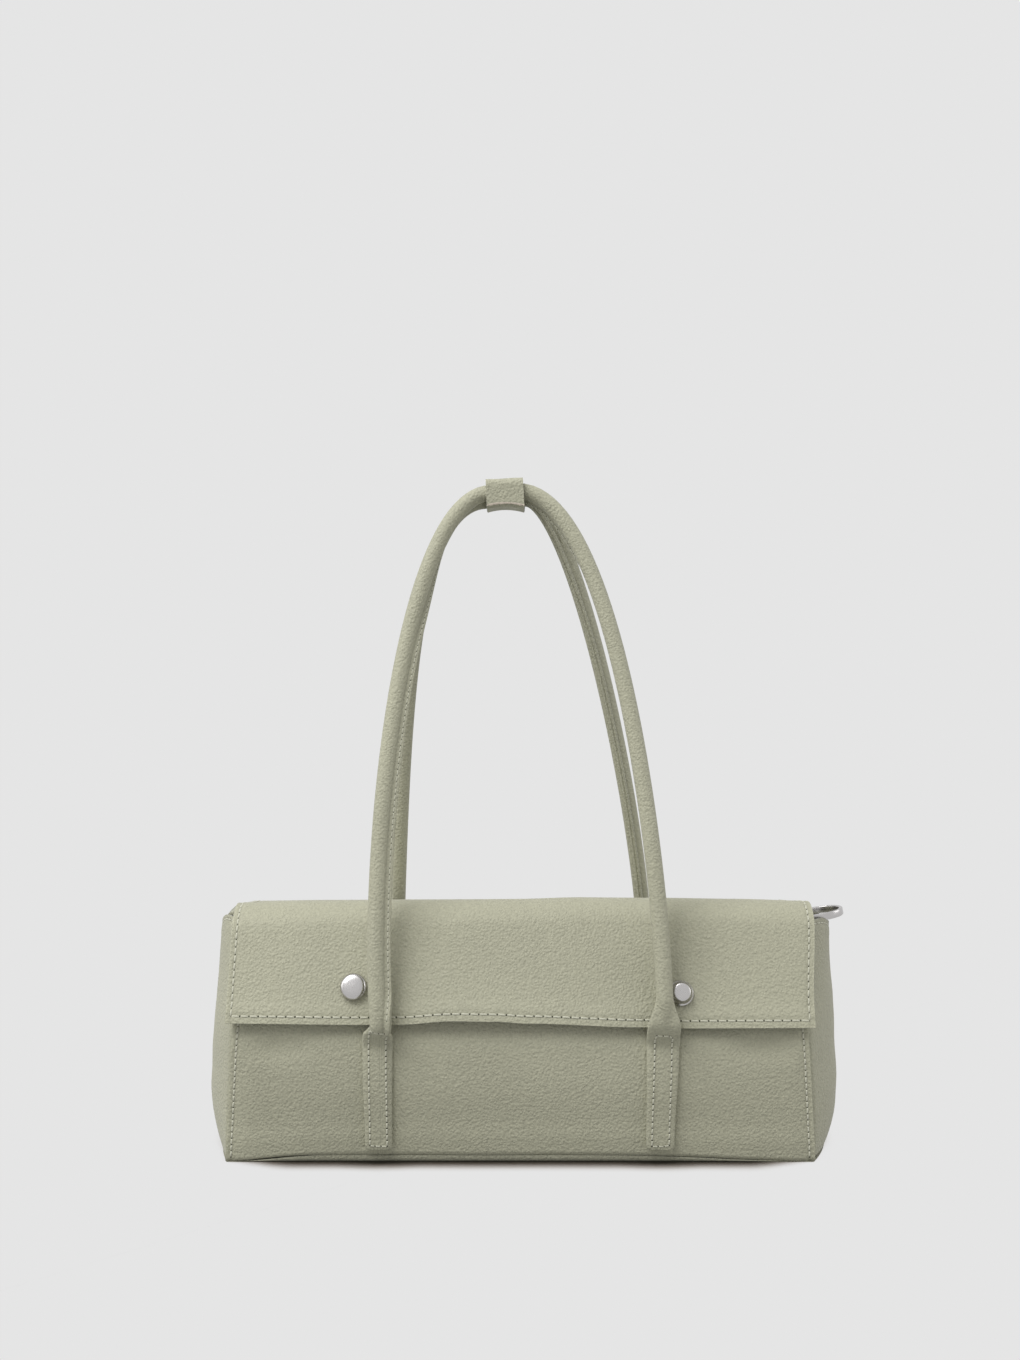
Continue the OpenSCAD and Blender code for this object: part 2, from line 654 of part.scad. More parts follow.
front_panel();
back_panel();
base_panel();
base_board();
end_gusset(true);  // left_gusset
end_gusset(false);  // right_gusset
lining();
mouth_facing();
flap_strip();
handle_tab(false, true);  // front_left_tab
handle_tab(false, false);  // front_right_tab
handle_tab(true, true);  // rear_left_tab
handle_tab(true, false);  // rear_right_tab
panel_magnet(true);  // left_panel_magnet
panel_magnet(false);  // right_panel_magnet
magnet_washer(true);  // left_magnet_washer
magnet_washer(false);  // right_magnet_washer
ring_tab(true);  // left_ring_tab
ring_tab(false);  // right_ring_tab
flap_top_outer();
flap_top_facing();
flap_front_outer();
flap_front_facing();
stud(true);  // left_stud
stud(false);  // right_stud
flap_magnet(true);  // left_flap_magnet
flap_magnet(false);  // right_flap_magnet
handle_tube(false);  // front_handle_tube
handle_core(false);  // front_handle_core
keeper_half(false);  // keeper_front
handle_tube(true);  // rear_handle_tube
handle_core(true);  // rear_handle_core
keeper_half(true);  // keeper_rear
left_ring();
right_ring();
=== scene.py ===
import json
import math

import bmesh
import bpy
from mathutils import Matrix, Vector, noise
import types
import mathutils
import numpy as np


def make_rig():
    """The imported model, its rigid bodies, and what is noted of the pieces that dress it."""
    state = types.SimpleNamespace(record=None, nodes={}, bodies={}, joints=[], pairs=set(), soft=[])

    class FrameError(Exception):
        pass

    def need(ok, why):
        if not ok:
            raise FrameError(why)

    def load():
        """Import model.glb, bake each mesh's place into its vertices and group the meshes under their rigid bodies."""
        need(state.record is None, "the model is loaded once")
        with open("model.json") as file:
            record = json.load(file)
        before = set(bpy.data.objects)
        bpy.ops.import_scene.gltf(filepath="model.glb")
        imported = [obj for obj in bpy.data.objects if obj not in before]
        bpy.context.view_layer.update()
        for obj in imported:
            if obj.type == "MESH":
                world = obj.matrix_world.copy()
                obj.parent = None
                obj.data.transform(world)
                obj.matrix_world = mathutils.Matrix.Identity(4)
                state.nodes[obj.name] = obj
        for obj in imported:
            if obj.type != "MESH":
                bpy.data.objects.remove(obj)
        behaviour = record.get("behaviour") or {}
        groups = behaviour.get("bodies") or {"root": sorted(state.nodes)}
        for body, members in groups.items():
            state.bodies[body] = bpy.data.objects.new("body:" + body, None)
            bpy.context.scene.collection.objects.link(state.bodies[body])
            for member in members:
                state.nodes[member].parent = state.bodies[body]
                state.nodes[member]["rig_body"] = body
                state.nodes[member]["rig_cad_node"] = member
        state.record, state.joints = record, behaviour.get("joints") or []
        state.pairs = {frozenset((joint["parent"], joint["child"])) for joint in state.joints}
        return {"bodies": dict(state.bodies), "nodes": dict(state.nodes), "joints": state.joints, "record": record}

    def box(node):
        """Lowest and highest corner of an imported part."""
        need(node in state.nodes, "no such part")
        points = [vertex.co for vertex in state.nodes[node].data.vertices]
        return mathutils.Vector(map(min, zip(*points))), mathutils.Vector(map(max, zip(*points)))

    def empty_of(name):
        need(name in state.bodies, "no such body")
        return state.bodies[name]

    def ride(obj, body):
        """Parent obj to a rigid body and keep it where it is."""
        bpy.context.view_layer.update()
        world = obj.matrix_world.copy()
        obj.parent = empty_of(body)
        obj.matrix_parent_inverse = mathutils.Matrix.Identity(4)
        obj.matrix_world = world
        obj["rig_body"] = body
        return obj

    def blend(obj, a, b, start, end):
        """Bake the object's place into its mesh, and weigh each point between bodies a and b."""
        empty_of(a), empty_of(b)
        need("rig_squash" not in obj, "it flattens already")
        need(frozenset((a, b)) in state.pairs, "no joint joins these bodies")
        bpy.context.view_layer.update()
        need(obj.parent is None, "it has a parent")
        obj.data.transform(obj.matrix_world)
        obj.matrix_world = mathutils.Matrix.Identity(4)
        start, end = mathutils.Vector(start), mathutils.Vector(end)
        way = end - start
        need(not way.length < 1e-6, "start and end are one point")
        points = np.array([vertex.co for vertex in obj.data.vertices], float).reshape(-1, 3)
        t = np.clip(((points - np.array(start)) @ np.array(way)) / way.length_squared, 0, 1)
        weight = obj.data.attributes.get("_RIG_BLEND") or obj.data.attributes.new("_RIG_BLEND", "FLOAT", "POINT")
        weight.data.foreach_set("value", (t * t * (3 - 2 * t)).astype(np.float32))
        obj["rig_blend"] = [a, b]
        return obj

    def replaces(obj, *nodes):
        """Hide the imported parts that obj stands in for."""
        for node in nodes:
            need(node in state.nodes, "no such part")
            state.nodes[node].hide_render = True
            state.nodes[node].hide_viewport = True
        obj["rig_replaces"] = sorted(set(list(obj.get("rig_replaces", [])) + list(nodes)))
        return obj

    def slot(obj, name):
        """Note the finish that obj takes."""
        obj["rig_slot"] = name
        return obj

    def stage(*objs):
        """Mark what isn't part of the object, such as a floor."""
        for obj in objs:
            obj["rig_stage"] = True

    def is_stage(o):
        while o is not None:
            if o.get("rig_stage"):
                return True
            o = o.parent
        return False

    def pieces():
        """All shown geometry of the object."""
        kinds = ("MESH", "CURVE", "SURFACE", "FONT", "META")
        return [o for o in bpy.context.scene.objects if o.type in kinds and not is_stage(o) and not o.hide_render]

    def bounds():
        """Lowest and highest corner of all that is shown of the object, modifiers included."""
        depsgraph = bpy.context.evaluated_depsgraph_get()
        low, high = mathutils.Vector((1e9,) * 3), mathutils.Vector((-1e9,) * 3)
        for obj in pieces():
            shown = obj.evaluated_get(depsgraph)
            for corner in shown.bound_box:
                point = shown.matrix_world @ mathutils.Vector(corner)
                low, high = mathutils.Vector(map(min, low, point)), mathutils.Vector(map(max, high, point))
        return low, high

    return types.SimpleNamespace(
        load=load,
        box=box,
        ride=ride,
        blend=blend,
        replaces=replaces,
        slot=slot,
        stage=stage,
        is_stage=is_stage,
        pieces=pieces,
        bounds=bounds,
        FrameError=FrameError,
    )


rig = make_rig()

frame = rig.load()
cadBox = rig.bounds()
mm = 0.001
hinges = {joint["name"]: Vector(joint["pos_m"]) / mm for joint in frame["joints"]}


def boxOf(node):  # lowest and highest corner of a node, in millimetres
    low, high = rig.box(node)
    return low / mm, high / mm


def smooth(a, b, x):  # 0 before a, 1 after b, eased in between
    t = min(1.0, max(0.0, (x - a) / (b - a)))
    return t * t * (3 - 2 * t)


def mixed(a, b, t):
    return a + (b - a) * t


def hump(x, middle, reach):  # a soft bump of height 1 round the middle
    return math.exp(-((x - middle) / reach) ** 2)


def steps(low, high, count):
    return [low + (high - low) * i / count for i in range(count + 1)]


def arc(x, y, radius, start, end, count):  # places on a circle, its angles in degrees
    return [(x + radius * math.cos(math.radians(a)), y + radius * math.sin(math.radians(a)))
            for a in steps(start, end, count)]


def headings(path):  # at each place, from the one before to the one after
    return [path[min(k + 1, len(path) - 1)] - path[max(k - 1, 0)] for k in range(len(path))]


def waver(x, y, z, size):  # slow unevenness of leather, about -1 to 1
    return noise.noise(Vector((x, y, z)) / size)


# Camera: level, at the photograph's height and distance
eye = {"x": -4.9, "y": -750, "z": 231, "lens": 38.68}
cameraData = bpy.data.cameras.new("eye")
cameraData.lens = eye["lens"]
cameraData.sensor_width = 36
cameraData.clip_start, cameraData.clip_end = 0.01, 60
cameraObject = bpy.data.objects.new("eye", cameraData)
cameraObject.location = (eye["x"] * mm, eye["y"] * mm, eye["z"] * mm)
cameraObject.rotation_euler = (math.radians(90), 0, 0)
bpy.context.scene.collection.objects.link(cameraObject)
bpy.context.scene.camera = cameraObject
print("camera set")


# Shaders
class Flow:  # one socket, so that sums on it are written as sums
    def __init__(self, shader, socket):
        self.shader, self.socket = shader, socket

    def sum(self, operation, a, b):
        return self.shader.node("Math", {"operation": operation}, {0: a, 1: b})

    def __add__(self, other):
        return self.sum("ADD", self, other)

    def __radd__(self, other):
        return self.sum("ADD", other, self)

    def __sub__(self, other):
        return self.sum("SUBTRACT", self, other)

    def __rsub__(self, other):
        return self.sum("SUBTRACT", other, self)

    def __mul__(self, other):
        return self.sum("MULTIPLY", self, other)

    def __rmul__(self, other):
        return self.sum("MULTIPLY", other, self)


class Shader:  # the nodes of a material, or of the world
    def __init__(self, name, forWorld=False):
        self.owner = (bpy.data.worlds if forWorld else bpy.data.materials).new(name)
        self.output = "ShaderNodeOutputWorld" if forWorld else "ShaderNodeOutputMaterial"
        self.owner.use_nodes = True
        self.tree = self.owner.node_tree
        self.tree.nodes.clear()

    def node(self, kind, settings=None, values=None, out=0):
        made = self.tree.nodes.new("ShaderNode" + kind)
        for key, value in (settings or {}).items():
            if key == "stops":
                ramp = made.color_ramp.elements
                for _ in range(len(value) - len(ramp)):
                    ramp.new(1)
                for element, (place, tone) in zip(ramp, value):
                    element.position, element.color = place, tone
            else:
                setattr(made, key, value)
        for key, value in (values or {}).items():
            if isinstance(value, Flow):
                self.tree.links.new(value.socket, made.inputs[key])
            else:
                made.inputs[key].default_value = value
        return Flow(self, made.outputs[out])

    def place(self):
        return self.node("TexCoord", out="Object")

    def noise(self, scale, detail, roughness, at):
        return self.node("TexNoise", {}, {
            "Vector": at, "Scale": scale, "Detail": detail, "Roughness": roughness})

    def blendColours(self, share, a, b):
        return self.node("Mix", {"data_type": "RGBA"}, {0: share, 6: a, 7: b}, 2)

    def bump(self, height, distance, strength=1.0, under=None):
        values = {"Height": height, "Distance": distance, "Strength": strength}
        if under:
            values["Normal"] = under
        return self.node("Bump", {}, values)

    def seenDirectly(self):  # camera rays, and what metal and glass show
        camera, glossy, through = (self.node("LightPath", out="Is " + ray + " Ray")
                                   for ray in ("Camera", "Glossy", "Transmission"))
        return camera + glossy + through

    def surface(self, shader):
        out = self.tree.nodes.new(self.output)
        self.tree.links.new(shader.socket, out.inputs["Surface"])
        return self.owner


def colour(red, green, blue):
    return (red, green, blue, 1)


def tinted(tone, share):
    return colour(*(channel * share for channel in tone[:3]))


# how many patches, specks, pebbles and slow waves a metre of leather has, and how its marks change its tone: edge wear
# and a painted highlight lighten it, painted shade darkens it
leatherLook = {"patches": 14, "specks": 720, "pebbles": 860, "waves": 45, "waveDepth": 0.0006,
               "waveShare": 0.3, "wornAndLitTone": 1.22, "grooveShadeTone": 0.62, "gloss": 0.38, "sheen": 0.12}


def makeLeather(name, tone, grain=0.0007, rough=0.6, unevenness=0.36):
    s = Shader(name)
    at = s.place()
    look = leatherLook
    patches = s.noise(look["patches"], 2, 0.5, at)
    specks = s.noise(look["specks"], 3, 0.65, at)
    pebbles = s.node("TexVoronoi", {"feature": "SMOOTH_F1"}, {
        "Vector": at, "Scale": look["pebbles"], "Smoothness": 0.7})
    wear = s.node("Attribute", {"attribute_name": "wear"}, out="Fac")
    groove = s.node("Attribute", {"attribute_name": "groove"}, out="Fac")
    dark, light = tinted(tone, 1 - unevenness), tinted(tone, 1 + unevenness)
    plain = s.blendColours(patches * 0.3 + specks * 0.7, dark, light)
    # lighter along rims: edge wear and a painted highlight
    wornAndLit = s.blendColours(wear * 0.6, plain, tinted(tone, look["wornAndLitTone"]))
    # darker in seams, grooves and hollows: painted shade
    shaded = s.blendColours(groove * 0.5, wornAndLit, tinted(tone, look["grooveShadeTone"]))
    grainBump = s.bump((1 - pebbles) * 0.6 + specks * 0.4, grain)
    waves = s.noise(look["waves"], 2, 0.5, at)
    return s.surface(s.node("BsdfPrincipled", {}, {
        "Base Color": shaded, "Roughness": specks * 0.16 + (rough - 0.08),
        "Normal": s.bump(waves, look["waveDepth"], look["waveShare"], grainBump),
        "Specular IOR Level": look["gloss"], "Sheen Weight": look["sheen"], "Sheen Roughness": 0.5}))


def makeMetal(name, tone, rough):
    s = Shader(name)
    at = s.place()
    fine = s.noise(900, 4, 0.7, at)
    stain = s.noise(90, 3, 0.5, at)
    metalTone = s.blendColours(stain, tinted(tone, 0.94), tinted(tone, 1.04))
    return s.surface(s.node("BsdfPrincipled", {}, {
        "Base Color": metalTone, "Metallic": 1, "Roughness": fine * 0.14 + stain * 0.08 + (rough - 0.11),
        "Normal": s.bump(fine, 0.00001)}))


def makeCloth(name, tone, threads=1900):
    s = Shader(name)
    at = s.place()
    warp, weft, cross = (s.node("TexWave", {"bands_direction": axis}, {
        "Vector": at, "Scale": threads / 6.3, "Distortion": 0.4}) for axis in "XZY")
    weave = (warp + weft + cross) * 0.33
    slubs = s.noise(30, 3, 0.5, at)
    tint = s.blendColours(weave * 0.6 + slubs * 0.4, tinted(tone, 0.8), tinted(tone, 1.1))
    return s.surface(s.node("BsdfPrincipled", {}, {
        "Base Color": tint, "Roughness": 0.9, "Normal": s.bump(weave, 0.0001), "Sheen Weight": 0.3}))


def makeThread(name, tone):
    s = Shader(name)
    at = s.place()
    fibre = s.noise(2600, 2, 0.6, at)
    tint = s.blendColours(fibre, tinted(tone, 0.86), tinted(tone, 1.08))
    return s.surface(s.node("BsdfPrincipled", {}, {
        "Base Color": tint, "Roughness": 0.7, "Normal": s.bump(fibre, 0.00008), "Sheen Weight": 0.2}))


sage = colour(0.402, 0.396, 0.294)
finishes = {
    "leather": makeLeather("sageLeather", sage),
    "facing": makeLeather("facingLeather", tinted(sage, 0.9), 0.0004, 0.66, 0.2),
    "edge": makeLeather("paintedEdge", colour(0.33, 0.335, 0.275), 0.00006, 0.5, 0.04),
    "rawEdge": makeLeather("rawEdge", colour(0.70, 0.62, 0.52), 0.0002, 0.8, 0.14),
    "thread": makeThread("offWhiteThread", colour(0.56, 0.555, 0.445)),
    # near-black needle-hole discs: painted shade in the holes
    "hole": makeLeather("needleHoleShade", colour(0.055, 0.055, 0.035), 0.00005, 0.9),
    "nickel": makeMetal("satinNickel", colour(0.56, 0.545, 0.54), 0.27),
    "steel": makeMetal("platedSteel", colour(0.55, 0.55, 0.56), 0.42),
    "cloth": makeCloth("liningCloth", colour(0.36, 0.345, 0.26)),
    "board": makeCloth("rawBoard", colour(0.25, 0.22, 0.18), 700),
}
print("finishes made")


# Meshes
def ringFaces(rings, around, first=0, loop=False):  # between rings of points, or back to the first ring too
    faces = []
    for k in range(rings if loop else rings - 1):
        a, b = first + k * around, first + (k + 1) % rings * around
        faces += [(a + i, a + (i + 1) % around, b + (i + 1) % around, b + i) for i in range(around)]
    return faces


def ringCaps(rings, around, first=0):
    last = first + (rings - 1) * around
    return [tuple(first + i for i in reversed(range(around))), tuple(last + i for i in range(around))]


def addPiece(name, points, faces, looks, slot, body=None, faceLooks=None, marks=None, soften=0.0, sharp=50):
    mesh = bpy.data.meshes.new(name)
    mesh.from_pydata([tuple(c * mm for c in p) for p in points], [], faces)
    for look in looks:
        mesh.materials.append(finishes[look])
    if faceLooks:
        mesh.polygons.foreach_set("material_index", faceLooks)
    for mark, values in (marks or {}).items():
        mesh.attributes.new(mark, "FLOAT", "POINT").data.foreach_set("value", values)
    work = bmesh.new()
    work.from_mesh(mesh)
    bmesh.ops.recalc_face_normals(work, faces=work.faces)
    work.to_mesh(mesh)
    work.free()
    mesh.shade_smooth()
    mesh.set_sharp_from_angle(angle=math.radians(sharp))
    piece = bpy.data.objects.new(name, mesh)
    bpy.context.scene.collection.objects.link(piece)
    if soften:
        rounding = piece.modifiers.new("rounding", "BEVEL")
        rounding.width, rounding.segments, rounding.limit_method = soften * mm, 2, "ANGLE"
        rounding.angle_limit, rounding.harden_normals = math.radians(sharp), True
    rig.slot(piece, slot)
    if body:
        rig.ride(piece, body)
    return piece


def gridNormals(grid, side):
    across = [headings(row) for row in grid]
    along = zip(*[headings(column) for column in zip(*grid)])
    return [[a.cross(b).normalized() * side for a, b in zip(*pair)] for pair in zip(across, along)]


def addSheet(name, surface, across, along, thick, looks, slot, body=None, side=1, wear=None, groove=None,
             soften=0.3, frayed=0):
    # a closed sheet: its outer face is surface(a, b), it is thick inwards from there, its looks are those of
    # the outer face, the rim and the inner face, and its last rows may be frayed
    grid = [[Vector(surface(a, b)) for a in across] for b in along]
    normals = gridNormals(grid, side)
    rows, columns = len(along), len(across)
    count = rows * columns
    depth = thick if callable(thick) else lambda a, b: thick
    outer = [grid[j][i] for j in range(rows) for i in range(columns)]
    inner = [grid[j][i] - normals[j][i] * depth(across[i], along[j])
             for j in range(rows) for i in range(columns)]
    faces, kinds = [], []
    for j in range(rows - 1):
        for i in range(columns - 1):
            a = j * columns + i
            faces += [(a, a + 1, a + columns + 1, a + columns),
                      (count + a, count + a + columns, count + a + columns + 1, count + a + 1)]
            kinds += [1 if j >= rows - 1 - frayed else 0, 2]
    rim = [j * columns for j in range(rows - 1, -1, -1)] + [i for i in range(1, columns)]
    rim += [j * columns + columns - 1 for j in range(1, rows)]
    rim += [(rows - 1) * columns + i for i in range(columns - 2, 0, -1)]
    for a, b in zip(rim, rim[1:] + rim[:1]):
        faces.append((a, b, count + b, count + a))
        kinds.append(1)
    marks = {}
    for mark, depthOf in (("wear", wear), ("groove", groove)):
        if depthOf:
            values = [depthOf(a, b) for b in along for a in across]
            marks[mark] = values + values
    return addPiece(name, outer + inner, faces, looks, slot, body, kinds, marks, soften)


# Stitches
sewing = {"pitch": 4.4, "sidePitch": 3.7, "seamPitch": 3.0, "tabPitch": 2.9, "hemPitch": 3.6,
          "width": 0.44, "height": 0.32, "hole": 0.5, "slant": 0.22}
# the rings of one stitch: how far along it, how high over the leather, how fat
stitchRings = ((0.03, -0.45, 0.6), (0.13, 0.1, 0.9), (0.3, 0.24, 1), (0.7, 0.24, 1), (0.87, 0.1, 0.9),
               (0.97, -0.45, 0.6))


def walk(surface, corners, pitch, side=1, closed=False):
    # places one stitch apart along straight runs on a surface, each with its normal
    corners = corners + corners[:1] if closed else corners
    line = []
    for (a, b), (c, d) in zip(corners, corners[1:]):
        line += [(mixed(a, c, i / 80), mixed(b, d, i / 80)) for i in range(80)]
    line.append(corners[-1])
    points = [Vector(surface(a, b)) for a, b in line]
    run = [0.0]
    for p, q in zip(points, points[1:]):
        run.append(run[-1] + (q - p).length)
    count = max(1, round(run[-1] / pitch))
    places, k = [], 0
    for i in range(count + 1):
        goal = run[-1] * i / count
        while k < len(run) - 2 and run[k + 1] < goal:
            k += 1
        share = (goal - run[k]) / max(1e-9, run[k + 1] - run[k])
        a, b = (mixed(u, v, share) for u, v in zip(line[k], line[k + 1]))
        here = Vector(surface(a, b))
        e = 0.001
        upA = Vector(surface(a + e, b)) - Vector(surface(a - e, b))
        upB = Vector(surface(a, b + e)) - Vector(surface(a, b - e))
        places.append((here, upA.cross(upB).normalized() * side))
    return places


def addStitches(name, runs, body=None, size=1.0):
    points, faces, kinds = [], [], []
    wide, high = sewing["width"] * size, sewing["height"] * size
    for places in runs:
        for (p, n), (q, m) in zip(places, places[1:]):
            up = (n + m).normalized()
            ahead = q - p
            sideways = ahead.normalized().cross(up)
            first = len(points)
            for share, lift, fat in stitchRings:
                centre = p + ahead * share + up * (lift * size) + sideways * (share - 0.5) * sewing["slant"]
                for k in range(6):
                    turn = math.tau * k / 6
                    points.append(centre + sideways * math.cos(turn) * wide * fat
                                  + up * math.sin(turn) * high * fat)
            faces += ringFaces(6, 6, first) + ringCaps(6, 6, first)
            kinds += [0] * 32
        # a near-black disc at each stitch end: painted shade in the needle hole
        for p, n in places:
            across = n.orthogonal().normalized()
            other = n.cross(across)
            first = len(points)
            for lift, radius in ((0.05, 1.0), (-0.3, 0.8)):
                for k in range(8):
                    turn = math.tau * k / 8
                    points.append(p + n * lift + (across * math.cos(turn) + other * math.sin(turn))
                                  * sewing["hole"] * radius * size)
            faces += ringFaces(2, 8, first) + ringCaps(2, 8, first)
            kinds += [1] * 10
    return addPiece(name, points, faces, ["thread", "hole"], "thread", body, kinds, sharp=70)


# Body of the bag, in millimetres: the walls stand upright to leanFrom and then lean inwards. Each end billows
# out by so much at its mouth, at half height and at the base, and has a raised tip at each side of its hem
panelLow, panelHigh = boxOf("front_panel")
body = {
    "bottomWidth": panelHigh.x * 2 + 0.2, "topWidth": 272, "height": panelHigh.z, "depth": -2 * panelLow.y,
    "leanFrom": 60, "leanBlend": 14, "lean": 0.4, "panel": 2.2, "gusset": 1.9, "tuck": 0.15, "tuckHeight": 42,
    "leftBillow": {"mouth": 17, "full": 17.4, "base": 8.6, "tip": 5.6},
    "rightBillow": {"mouth": 23, "full": 22.3, "base": 13.2, "tip": 3.6},
}


def leanAt(z):
    past = z - body["leanFrom"]
    if past <= 0:
        return 0.0
    if past < body["leanBlend"]:
        return body["lean"] * past * past / (2 * body["leanBlend"])
    return body["lean"] * (past - body["leanBlend"] / 2)


def wallY(z):
    return -body["depth"] / 2 + leanAt(z)


def halfWidth(z):
    return mixed(body["bottomWidth"], body["topWidth"], z / body["height"]) / 2


def tuckAt(z):  # the walls draw in towards the base
    return body["tuck"] * max(0.0, 1 - z / body["tuckHeight"]) ** 1.6


def panelThick(relief):  # the leather is pressed thinner where the wall stands in
    return max(0.5, body["panel"] - max(0.0, relief))


# Walls: where their seam runs, and how the leather swells and sinks. The seam over the base dips towards the
# corners, from dipRight and dipLeft on
panel = {"seam": 2.7, "belly": 2.3, "bellyHeight": 37, "dent": 1.6, "dentX": 116, "dentZ": 55, "puff": 0.5,
         "sunk": 1.7, "sunkHeight": 65, "uneven": 0.45, "seamLow": 0.3, "seamRise": 2.9, "dipLeft": 95,
         "dipRight": 45, "dipEnd": 137}
studs = [Vector((side * 79.0, 0, 83.0)) for side in (-1, 1)]
magnet = {"reach": 7.2, "fade": 1.4, "flat": 1.08}  # the leather is pressed in over each magnet


def seamLine(x):
    dip = panel["dipRight"] if x > 0 else panel["dipLeft"]
    return panel["seamLow"] + panel["seamRise"] * (1 - smooth(dip, panel["dipEnd"], abs(x)))


def fromStud(x, z, stud):
    return math.hypot(x - stud.x, (z - stud.z) * magnet["flat"])


def wallRelief(x, z, front):  # how far the wall stands in from its plane
    fromSide = halfWidth(z) - abs(x)
    low = z - seamLine(x)
    below = 1 - smooth(57, 66, z)
    relief = tuckAt(z) - panel["puff"] * (hump(fromSide, 10, 6) * below + hump(low, 9, 5))
    relief -= panel["belly"] * hump(z, panel["bellyHeight"], 21) * (1 - min(1, abs(x) / 141) ** 4)
    relief += panel["dent"] * hump(abs(x), panel["dentX"], 14) * hump(z, panel["dentZ"], 6) * below
    relief += 0.35 * hump(fromSide, panel["seam"], 0.9) + 0.8 * smooth(2.0, 0, low)
    relief += panel["uneven"] * waver(x, 7 if front else -7, z, 38) * below
    if front:
        relief += panel["sunk"] * hump(z, panel["sunkHeight"], 6.5)
    for stud in studs:
        relief += 0.25 * (1 - smooth(magnet["reach"], magnet["reach"] + magnet["fade"], fromStud(x, z, stud)))
    return relief


def wallSpot(u, v):
    z = mixed(seamLine(u * 135), body["height"], v)
    return u * halfWidth(z), z


def wallPoint(front):
    turn = 1 if front else -1

    def point(u, v):
        x, z = wallSpot(u, v)
        return x, turn * (wallY(z) + wallRelief(x, z, front)), z
    return point


# painted shade along the stitch line and in a band at the wall's foot, by the base seam
def seamShade(u, v):
    z = v * body["height"]
    fromSide = (1 - abs(u)) * halfWidth(z)
    return 0.5 * hump(fromSide, panel["seam"], 0.7) + 1.7 * (1 - smooth(0, 1.3, z))


# lighter along the wall's side edges: edge wear and a painted highlight
def seamWearAndHighlight(u, v):
    return 0.8 * hump((1 - abs(u)) * 140, 0.3, 0.8)


leftColumns = [-1 + e / 140 for e in (0, 0.4, 0.9, 1.5, 2.1, 2.7, 3.3, 3.9, 4.6, 5.6, 7, 9, 12)]
wallColumns = leftColumns + steps(-1 + 16 / 140, 1 - 16 / 140, 72) + [-a for a in reversed(leftColumns)]
wallRows = [a / 110 for a in (0, 0.5, 1.0, 1.6, 2.2, 2.9, 3.6, 4.6, 6, 8)] + steps(11 / 110, 1, 54)
for isFront in (True, False):
    label, outward = ("front", 1) if isFront else ("back", -1)
    surface = wallPoint(isFront)
    wall = addSheet(label + "Wall", surface, wallColumns, wallRows,
                    lambda u, v: panelThick(wallRelief(*wallSpot(u, v), isFront)),
                    ["leather", "edge", "leather"], "leather", "bag", outward, seamWearAndHighlight, seamShade, 0.5)
    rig.replaces(wall, label + "_panel")
    inset = 1 - panel["seam"] / 141
    runs = [walk(surface, [(side * inset, 0.02), (side * (inset + 0.0006), 0.985)], sewing["seamPitch"],
                 outward) for side in (-1, 1)]
    addStitches(label + "WallStitches", runs, "bag")
print("walls made")


# Base: its turned-up rim shows under the bottom seam and curves in beneath. The rim is written from below, as
# how far it stands in and which share of the seam's height it has
base = {"skin": 1.5, "shade": 1.5,
        "rim": [(3.0, 0.0), (1.9, 0.02), (1.1, 0.09), (0.5, 0.24), (0.15, 0.45), (0.0, 0.7), (0.15, 0.97),
                (1.3, 0.97)]}


def baseLoop(inset, heightAt):
    # the front edge from the left tip to the right tip, then back along the rear edge
    reach = body["depth"] / 2 - tuckAt(0) - 0.2 - inset
    half = halfWidth(1) - 0.6 - inset
    left, right = ([(side * (half + billow["base"] * (1 - s * s)), -s * reach) for s in steps(0, 1, 14)]
                   for side, billow in ((-1, body["leftBillow"]), (1, body["rightBillow"])))
    edge = left + [(x, -reach) for x in steps(-half, half, 60)[1:-1]] + right[::-1]
    return [(x, y, heightAt(x)) for x, y in edge + [(x, -y) for x, y in edge[-2:0:-1]]]


loops = [baseLoop(inset, lambda x, share=share: share * seamLine(x)) for inset, share in base["rim"]]
loops.append(baseLoop(base["rim"][-1][0] + 0.1, lambda x: min(base["skin"], seamLine(x) * 0.9)))
count, points = len(loops[0]), [p for loop in loops for p in loop]
faces = ringFaces(len(loops), count)
last = count // 2  # the right tip
for first in (0, (len(loops) - 1) * count):
    faces.append((first, first + 1, first + count - 1))
    faces += [(first + k, first + k + 1, first + count - k - 1, first + count - k)
              for k in range(1, last - 1)]
    faces.append((first + last - 1, first + last, first + last + 1))
# painted shade on the turned-up rim, which faces down under the bottom seam
shade = {"groove": [base["shade"]] * (count * (len(base["rim"]) - 1)) + [0.0] * (count * 2)}
made = addPiece("baseLeather", points, faces, ["leather"], "leather", "bag", None, shade, sharp=60)
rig.replaces(made, "base_panel")
print("base made")

# Ends: each gusset billows out between the walls and has a stitched hem at its top
hem = {"stitch": 2.0, "height": 7.5, "puff": 0.12, "tipFrom": 26}


def billowAt(z, billow):
    middle = body["height"] / 2
    if z < middle:
        return billow["full"] - (billow["full"] - billow["base"]) * ((middle - z) / middle) ** 5
    return billow["full"] - (billow["full"] - billow["mouth"]) * ((z - middle) / middle) ** 2


